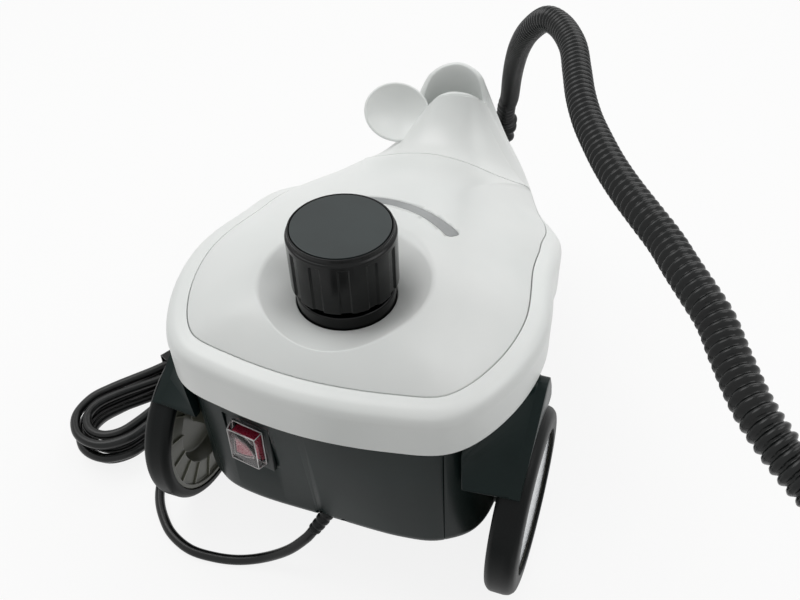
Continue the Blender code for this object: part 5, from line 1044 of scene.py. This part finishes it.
def arch_loop(shares, x):
    """The arch's outline at one x, in shares of the wheel's radius, kept under the shell."""
    y = WHEEL_Y + np.array(shares)[:, 0] * WHEEL_RADIUS
    z = np.minimum(np.array(shares)[:, 1] * WHEEL_RADIUS, PANEL_TOP - fall(y))
    return np.column_stack([x + 0 * y, y, z])


for side, hand in ((1, "right"), (-1, "left")):
    edge = ARCH_OUTER - (ARCH_OUTER - ARCH_INNER) * ARCH_DRAFT
    loops = np.stack([arch_loop(INNER_SHARES, side * ARCH_INNER), arch_loop(OUTER_SHARES, side * edge),
                      arch_loop(OUTER_SHARES, side * ARCH_OUTER)], 1)
    rows = ringed(loops, [0.003, 0.020, 0.020, 0.020, 0.020, 0.003], 9).swapaxes(0, 1)[:, ::-side]
    well = drilled(WHEEL_RADIUS + WELL_GAP, WELL_DEEP,
                   (side * (WELL_INNER + WELL_DEEP / 2), WHEEL_Y, WHEEL_RADIUS), (1, 0, 0), 160)
    core = skin("core", np.array(housing_skin(2 * TINY)), black_abs)
    finished(carved(skin(f"arch_{hand}_moulding", rows, black_abs), [well, core]), f"wheel_arch_{hand}",
             "black_shell", 0.0005, 30)

# Filler collar and cap
# The collar and the screw cap are black phenolic-like plastic. The cap has a fluted grip, a fine
# groove and a flat grey insert pressed into its top.

cap_black = moulded("moulded cap plastic", "060808", "040505", 0.20, 0.8, 0.03, 30.0, 0.03, 1.30)
cap_grey = moulded("satin grey insert", "293131", "252C2C", 0.36, 0.6, 0.04, 30.0, 0.03, 1.40)
upright = Matrix.Identity(4)
collar = revolved("filler_collar_ring", ringed([
    (0.0168, 0.2020), (0.0310, 0.2020), (0.0310, 0.2165), (0.0168, 0.2165)], 0.0012), upright,
    cap_black, closed=True)
shown(collar, "cap_black", "filler_collar")

FLUTES, FLUTE_DEPTH = 12, 0.0011
CAP_RADIUS, CAP_BOTTOM, CAP_TOP, CAP_ROUND = 0.0332, 0.2205, 0.262, 0.0015
CAP_INNER, CAP_CEILING, DISC_SEAT = 0.0302, 0.2570, CAP_TOP - 0.0013
DISC_RADIUS, DISC_THICK, DISC_PROUD = 0.0300, 0.0012, 0.0002


def flutes(angle, height, reach):
    """Narrow flat recesses round the grip, with steep short sides, between the groove and the foot."""
    wave = (angle * FLUTES / (2 * math.pi)) % 1.0
    side = np.clip((0.21 - np.abs(wave - 0.79)) / 0.05, 0, 1)
    side = side * side * (3 - 2 * side)
    grip = np.clip((CAP_TOP - 0.0068 - height) / 0.0012, 0, 1) * (reach > CAP_RADIUS - 0.0022)
    return FLUTE_DEPTH * side * grip


groove = CAP_TOP - 0.003
cap_profile = rounded([
    (DISC_RADIUS - 0.02, CAP_CEILING), (CAP_INNER, CAP_CEILING), (CAP_INNER, CAP_BOTTOM),
    (CAP_RADIUS - 0.0016, CAP_BOTTOM), (CAP_RADIUS, CAP_BOTTOM + CAP_ROUND),
    *((CAP_RADIUS, z) for z in (0.23, 0.24, 0.25, groove - 0.0045, groove - 0.0032, groove - 0.0008)),
    (CAP_RADIUS - CAP_ROUND, groove), (CAP_RADIUS - CAP_ROUND, CAP_TOP), (DISC_RADIUS + 2 * TINY, CAP_TOP),
    (DISC_RADIUS + 2 * TINY, DISC_SEAT), (0.0, DISC_SEAT),
], 0.0006, 4)
cap_body = revolved("cap_grip", cap_profile[1:-1], upright, cap_black, 512, wave=flutes)
shown(cap_body, "cap_black", "cap_body", body="cap")
disc_top = CAP_TOP + DISC_PROUD
cap_disc = revolved("cap_insert", rounded([
    (0.0, disc_top - DISC_THICK), (DISC_RADIUS, disc_top - DISC_THICK), (DISC_RADIUS, disc_top),
    (0.0, disc_top)], 0.0004)[1:-1], upright, cap_grey)
shown(cap_disc, "cap_grey", "cap_disc", body="cap")

# Switch
# A red rocker in a black nylon bezel, sunk in the rear panel under a clear soft PVC hood that keeps
# drips out.

rocker_red = moulded("moulded red polycarbonate", "96283E", "832036", 0.28, 0.8, 0.05, 15.0)
bezel_nylon = moulded("moulded nylon", "10191A", "0C1414", 0.34, 0.6, 0.10, 20.0, ior=1.28)


def framed(name, half, depth, material, hole=None, bevel=0.0006, taper=0.0, node=None, slot=None):
    """A block on the switch's axes, from depth[0] out to depth[1] with a smaller face if tapered,
    hollowed from behind where hole gives half sizes and a ceiling."""
    (w, h), (near, far) = half, depth
    spots = [(x * (w - t), -d, z * (h - t)) for d, t in ((near, 0), (far, taper))
             for x, z in ((-1, -1), (1, -1), (1, 1), (-1, 1))]
    piece = meshed(name, spots, [
        (3, 2, 1, 0), (4, 5, 6, 7), (0, 1, 5, 4), (1, 2, 6, 5), (2, 3, 7, 6), (3, 0, 4, 7)], material)
    piece.data.transform(SWITCH_PLACE)
    if hole:
        (hw, hh), ceiling = hole
        carved(piece, [block((-hw, -ceiling, -hh), (hw, -near + 0.02, hh), SWITCH_PLACE)])
    if node:
        finished(piece, node, slot, bevel, 30)
    return piece


WALL_SEAT, BEZEL_HALF, TUB_HALF = 0.0008, (0.0170, 0.0207), (0.0126, 0.0176)
WINDOW_SIDE, WINDOW_LOW, WINDOW_HIGH, WINDOW_DEEP = 0.0098, -0.0135, 0.0129, 0.0085
bezel = framed("bezel_plate", BEZEL_HALF, (WALL_SEAT - 0.0016, WALL_SEAT + 0.0018), bezel_nylon)
tub = framed("bezel_tub", TUB_HALF, (WALL_SEAT - 0.014, WALL_SEAT + 0.0010), bezel_nylon)
carved(bezel, [tub], "UNION")
carved(bezel, [block((-WINDOW_SIDE, -PAST, WINDOW_LOW), (WINDOW_SIDE, WINDOW_DEEP, WINDOW_HIGH),
                     SWITCH_PLACE)])
finished(bezel, "switch_bezel", "rubber", 0.0005, 30)

# The rocker: a wedge with a dished face about its pin, tipped to off so that its top stands out.
ROCKER_TIP = math.radians(-10.0)
ROCKER_PIN = SWITCH_PLACE.inverted() @ Vector((-0.0461, -0.06986, 0.12596))
rocker_profile = np.array([(-0.0110, -0.0032), (-0.0048, -0.0023), (0.0011, -0.0020), (0.0070, -0.0023),
                           (0.0133, -0.0032), (0.0134, -0.0005), (0.0105, 0.0060), (0.0011, 0.0085),
                           (-0.0085, 0.0060), (-0.0112, -0.0005)])
turned_profile = np.column_stack([
    rocker_profile[:, 0] * math.cos(ROCKER_TIP) - rocker_profile[:, 1] * math.sin(ROCKER_TIP),
    rocker_profile[:, 0] * math.sin(ROCKER_TIP) + rocker_profile[:, 1] * math.cos(ROCKER_TIP)])
outline = rounded(np.vstack([turned_profile[-1:], turned_profile, turned_profile[:1]]), 0.0014, 4)[1:-1]
sides = np.array([-0.0093, -0.0090, 0.0090, 0.0093])
shrink = np.array([0.94, 1.0, 1.0, 0.94])
rocker_rows = np.stack([np.column_stack([
    np.full(len(outline), x), outline[:, 1] * k + ROCKER_PIN[1], outline[:, 0] * k + ROCKER_PIN[2]])
    for x, k in zip(sides, shrink)])
shown(skin("rocker_key", moved(rocker_rows, SWITCH_PLACE), rocker_red, sharp=40),
      "rocker_red", "switch_rocker", body="rocker")

# Clear PVC: a soft moulding with a low index, and a slow ripple that breaks up what shows through.
clear_pvc, tree = blank("clear PVC")
place = add(tree, "TexCoord").outputs["Object"]
ripple = add(tree, "TexNoise", {"Vector": place, "Scale": 220.0, "Detail": 2.0})
relief = add(tree, "Bump", {"Strength": 0.15, "Distance": 0.0006, "Height": ripple.outputs["Fac"]})
shader = add(tree, "BsdfPrincipled", {
    "Base Color": paint("F6F2F2"), "Roughness": 0.06, "IOR": 1.22, "Transmission Weight": 1.0,
    "Normal": relief.outputs["Normal"]})
add(tree, "OutputMaterial", {"Surface": shader.outputs[0]})
HOOD_HALF, HOOD_HOLE, HOOD_TAPER = (0.01175, 0.01525), (0.0108, 0.0143), 0.0013
HOOD_FOOT, HOOD_CEILING, HOOD_FACE = WALL_SEAT + 0.0020, WALL_SEAT + 0.0080, WALL_SEAT + 0.0090
framed("switch_hood", HOOD_HALF, (HOOD_FOOT, HOOD_FACE), clear_pvc, (HOOD_HOLE, HOOD_CEILING), 0.0006,
       HOOD_TAPER, "switch_cover", "clear_cover")

# The hood's edges catch the light as fine pale lines, painted here as highlights: thin pale beads along them.
hood_edge_highlight = moulded("PVC edge painted highlight", "D6D4D4", "C4C2C2", 0.25, 0.8, 0.05, 15.0)
BEAD_RADIUS, BEAD_SUNK = 0.00028, 0.0001
spots = [Vector((x * (HOOD_HALF[0] - t), -d, z * (HOOD_HALF[1] - t)))
         for t, d in ((0, HOOD_FOOT + BEAD_SUNK), (HOOD_TAPER, HOOD_FACE - BEAD_SUNK))
         for x, z in ((-1, -1), (1, -1), (1, 1), (-1, 1))]
beads = []
for i in range(4):
    for start, end in ((i + 4, (i + 1) % 4 + 4), (i, i + 4), (i, (i + 1) % 4)):
        line = np.array([SWITCH_PLACE @ spots[start], SWITCH_PLACE @ spots[end]])
        beads.append(carried("bead", evenly(line, 0.004), lambda along, angle: BEAD_RADIUS, 8, hood_edge_highlight))
with bpy.context.temp_override(active_object=beads[0], selected_editable_objects=beads):
    bpy.ops.object.join()
beads[0].name = "switch_hood_highlight_beads"
shown(beads[0], "clear_cover")

# Wheels
# Large thin wheels: a soft black tyre on a grey-olive hub with a sunk, ribbed inner face, and a
# spun aluminium cap on the outer face.

tyre_rubber = moulded("tyre rubber", "0C1010", "080A0A", 0.44, 0.7, 0.18, 30.0, ior=1.24)
hub_plastic = moulded("moulded grey nylon", "66675A", "5A5B4F", 0.36, 0.8, 0.10, 40.0)
# The ribs are painted paler than the disc: a painted highlight for the light that their edges catch.
rib_highlight_nylon = moulded("grey nylon painted paler as highlight", "8C8D7E", "7E7F71", 0.34, 0.8, 0.10, 40.0)
# Spun aluminium: fine rings about the wheel's middle, in its tone, gloss and relief.
spun_aluminium, tree = blank("spun aluminium")
place = add(tree, "TexCoord").outputs["Object"]
turned_about = add(tree, "Mapping", {"Vector": place, "Location": (0.0, -WHEEL_Y, -WHEEL_RADIUS)})
rings = add(tree, "TexWave", {"Vector": turned_about.outputs[0], "Scale": 240.0, "Distortion": 0.6,
                                        "Detail": 2.0}, wave_type="RINGS", rings_direction="X")
tone = ramped(tree, rings.outputs["Fac"], "C3C6C8", "D2D5D7")
gloss = add(tree, "MapRange", {"Value": rings.outputs["Fac"], "To Min": 0.22, "To Max": 0.34})
relief = add(tree, "Bump", {"Strength": 0.08, "Distance": 0.0002, "Height": rings.outputs["Fac"]})
shader = add(tree, "BsdfPrincipled", {
    "Base Color": tone, "Metallic": 1.0, "Roughness": gloss.outputs["Result"],
    "Normal": relief.outputs["Normal"]})
add(tree, "OutputMaterial", {"Surface": shader.outputs[0]})

HUB_RADIUS, HUB_DEPTH, HUB_RIM, HUB_EDGE = 0.0579, 0.0185, 0.0034, 0.001
CUP_RADIUS, CUP_FLOOR, CUP_DEPTH, DISC_INSET, DISC_WALL = 0.038, 0.0330, 0.0138, 0.0035, 0.002
HUB_CAP_RADIUS, HUB_CAP_FACE, SHOULDER = 0.0502, 0.0175, 0.007
BOSS_RADIUS, BORE, RIB_COUNT, WHEEL_AROUND = 0.009, 0.0041, 16, 192
RIB_WIDTH, RIB_HEIGHT, CAP_SHEET = 0.0012, 0.0013, 0.0012
for side, hand in ((1, "right"), (-1, "left")):
    place = Matrix.Translation((side * WHEEL_INNER, WHEEL_Y, WHEEL_RADIUS)) @ Matrix.Rotation(
        side * math.pi / 2, 4, "Y")
    inner, rim_inner, back = HUB_RADIUS + TINY, HUB_RADIUS - HUB_RIM, CUP_DEPTH + DISC_WALL
    web = HUB_CAP_RADIUS + TINY
    tyre = revolved(f"tyre_{hand}_moulding", ringed([
        (inner, 0.0), (WHEEL_RADIUS - 0.0030, 0.0), (WHEEL_RADIUS, 0.0032),
        *((WHEEL_RADIUS - SHOULDER * a, WHEEL_WIDTH - SHOULDER * b)
          for a, b in ((0, 1), (0.13, 0.5), (0.5, 0.13), (1, 0))),
        (web, WHEEL_WIDTH), (web, HUB_DEPTH + TINY), (inner, HUB_DEPTH + TINY),
    ], [0.0005, 0.0022, 0.0022, 0.002, 0.002, 0.002, 0.002, 0.0005, 0.0005, 0.0005], 6),
        place, tyre_rubber, WHEEL_AROUND, closed=True)
    hub = revolved(f"hub_{hand}_moulding", ringed([
        (HUB_RADIUS, HUB_EDGE), (HUB_RADIUS, HUB_DEPTH), (rim_inner, HUB_DEPTH),
        (rim_inner, DISC_INSET + DISC_WALL), (CUP_RADIUS + DISC_WALL, DISC_INSET + DISC_WALL),
        (CUP_FLOOR, back), (BORE, back), (BORE, HUB_EDGE), (BOSS_RADIUS, HUB_EDGE),
        (BOSS_RADIUS, CUP_DEPTH), (CUP_FLOOR, CUP_DEPTH), (CUP_RADIUS, DISC_INSET),
        (rim_inner, DISC_INSET), (rim_inner, HUB_EDGE),
    ], 0.0009, 5), place, hub_plastic, WHEEL_AROUND, closed=True)
    cap = revolved(f"hub_cap_{hand}_spinning", rounded([
        (0.0, HUB_CAP_FACE - CAP_SHEET), (rim_inner - TINY, HUB_CAP_FACE - CAP_SHEET),
        (rim_inner - TINY, HUB_CAP_FACE), (0.030, HUB_CAP_FACE), (0.0, HUB_CAP_FACE + 0.0006),
    ], 0.0006)[1:-1], place, spun_aluminium, WHEEL_AROUND)
    rib_top = DISC_INSET - 0.0012
    cell = corners_of((CUP_RADIUS, -RIB_WIDTH / 2, rib_top), (rim_inner, RIB_WIDTH / 2, rib_top + RIB_HEIGHT))
    turn = np.arange(RIB_COUNT) * 2 * math.pi / RIB_COUNT
    c, s = np.cos(turn)[:, None], np.sin(turn)[:, None]
    cells = np.stack([cell[:, 0] * c - cell[:, 1] * s, cell[:, 0] * s + cell[:, 1] * c,
                      cell[:, 2] + 0 * c], -1)
    rib_faces = BLOCK_FACES[None] + len(cell) * np.arange(RIB_COUNT)[:, None, None]
    # The ribs take the paler nylon: a painted highlight along them.
    ribs = meshed(f"hub_ribs_{hand}", moved(cells.reshape(-1, 3), place).tolist(),
                  rib_faces.reshape(-1, 4).tolist(), rib_highlight_nylon)
    for piece, nodes, slot in ((tyre, [f"tyre_{hand}"], "tyre"), (hub, [f"wheel_hub_{hand}"], "hub"),
                               (cap, [f"hub_cap_{hand}"], "aluminium"), (ribs, [], "hub")):
        shown(piece, slot, *nodes, body=f"wheel_{hand}")

# Axle, bushes, caster
# A plain steel axle in moulded bushes, held by two clips, and a swivel caster under the nose: a
# plate, a pin, a black fork and a rubber wheel.

plated_steel = metal("zinc-plated steel", "B4B7BA", "A5A8AB", 0.32)
for node in ("axle_bush_left", "axle_bush_right"):
    dressed(node, black_abs, 0.0003, 35, 2, "black_shell")
for node in ("axle_clip_left", "axle_clip_right", "axle", "caster_pin", "caster_plate"):
    dressed(node, plated_steel, 0.0003, 35, 2, "steel")
dressed("caster_fork", black_abs, 0.0006, 35, 2, "black_shell")
dressed("caster_wheel", tyre_rubber, 0.0006, 30, 3, "tyre")

# Steam gun
# Two black ABS half shells with a rubber trigger, a red lock and a stepped nozzle. It lies on its
# side on the floor, past the picture's edge.

for node in ("gun_shell_left", "gun_shell_right", "gun_nozzle"):
    dressed(node, black_abs, 0.0005, 35, 2, "black_shell")
dressed("gun_trigger", moulded_rubber, 0.0008, 35, 3, "rubber")
dressed("trigger_lock", rocker_red, 0.0006, 30, 3, "rocker_red")

# Inner works
# The parts inside the housing keep their solids' shapes: pressed steel, brass, aluminium and
# moulded rubber.

cast_brass = metal("machined brass", "BE9C50", "AE8C42", 0.30)
drawn_aluminium = metal("drawn aluminium", "BFC2C4", "B0B3B5", 0.38)
silicone = moulded("cast silicone", "B9BBB8", "ABADAA", 0.50, 1.0, 0.05, 12.0)
for material, nodes in (
        (plated_steel, ("boiler_stand", "boiler_tank", "heating_element", "trigger_pin")),
        (cast_brass, ("cap_plug", "gun_valve", "plug_pin_left", "plug_pin_right", "steam_valve")),
        (drawn_aluminium, ("steam_pipe", "thermal_cutout", "thermostat")),
        (moulded_rubber, ("outlet_pipe", "terminal_block")), (silicone, ("cap_seal",))):
    for node in nodes:
        frame["nodes"][node].material_slots[0].material = material
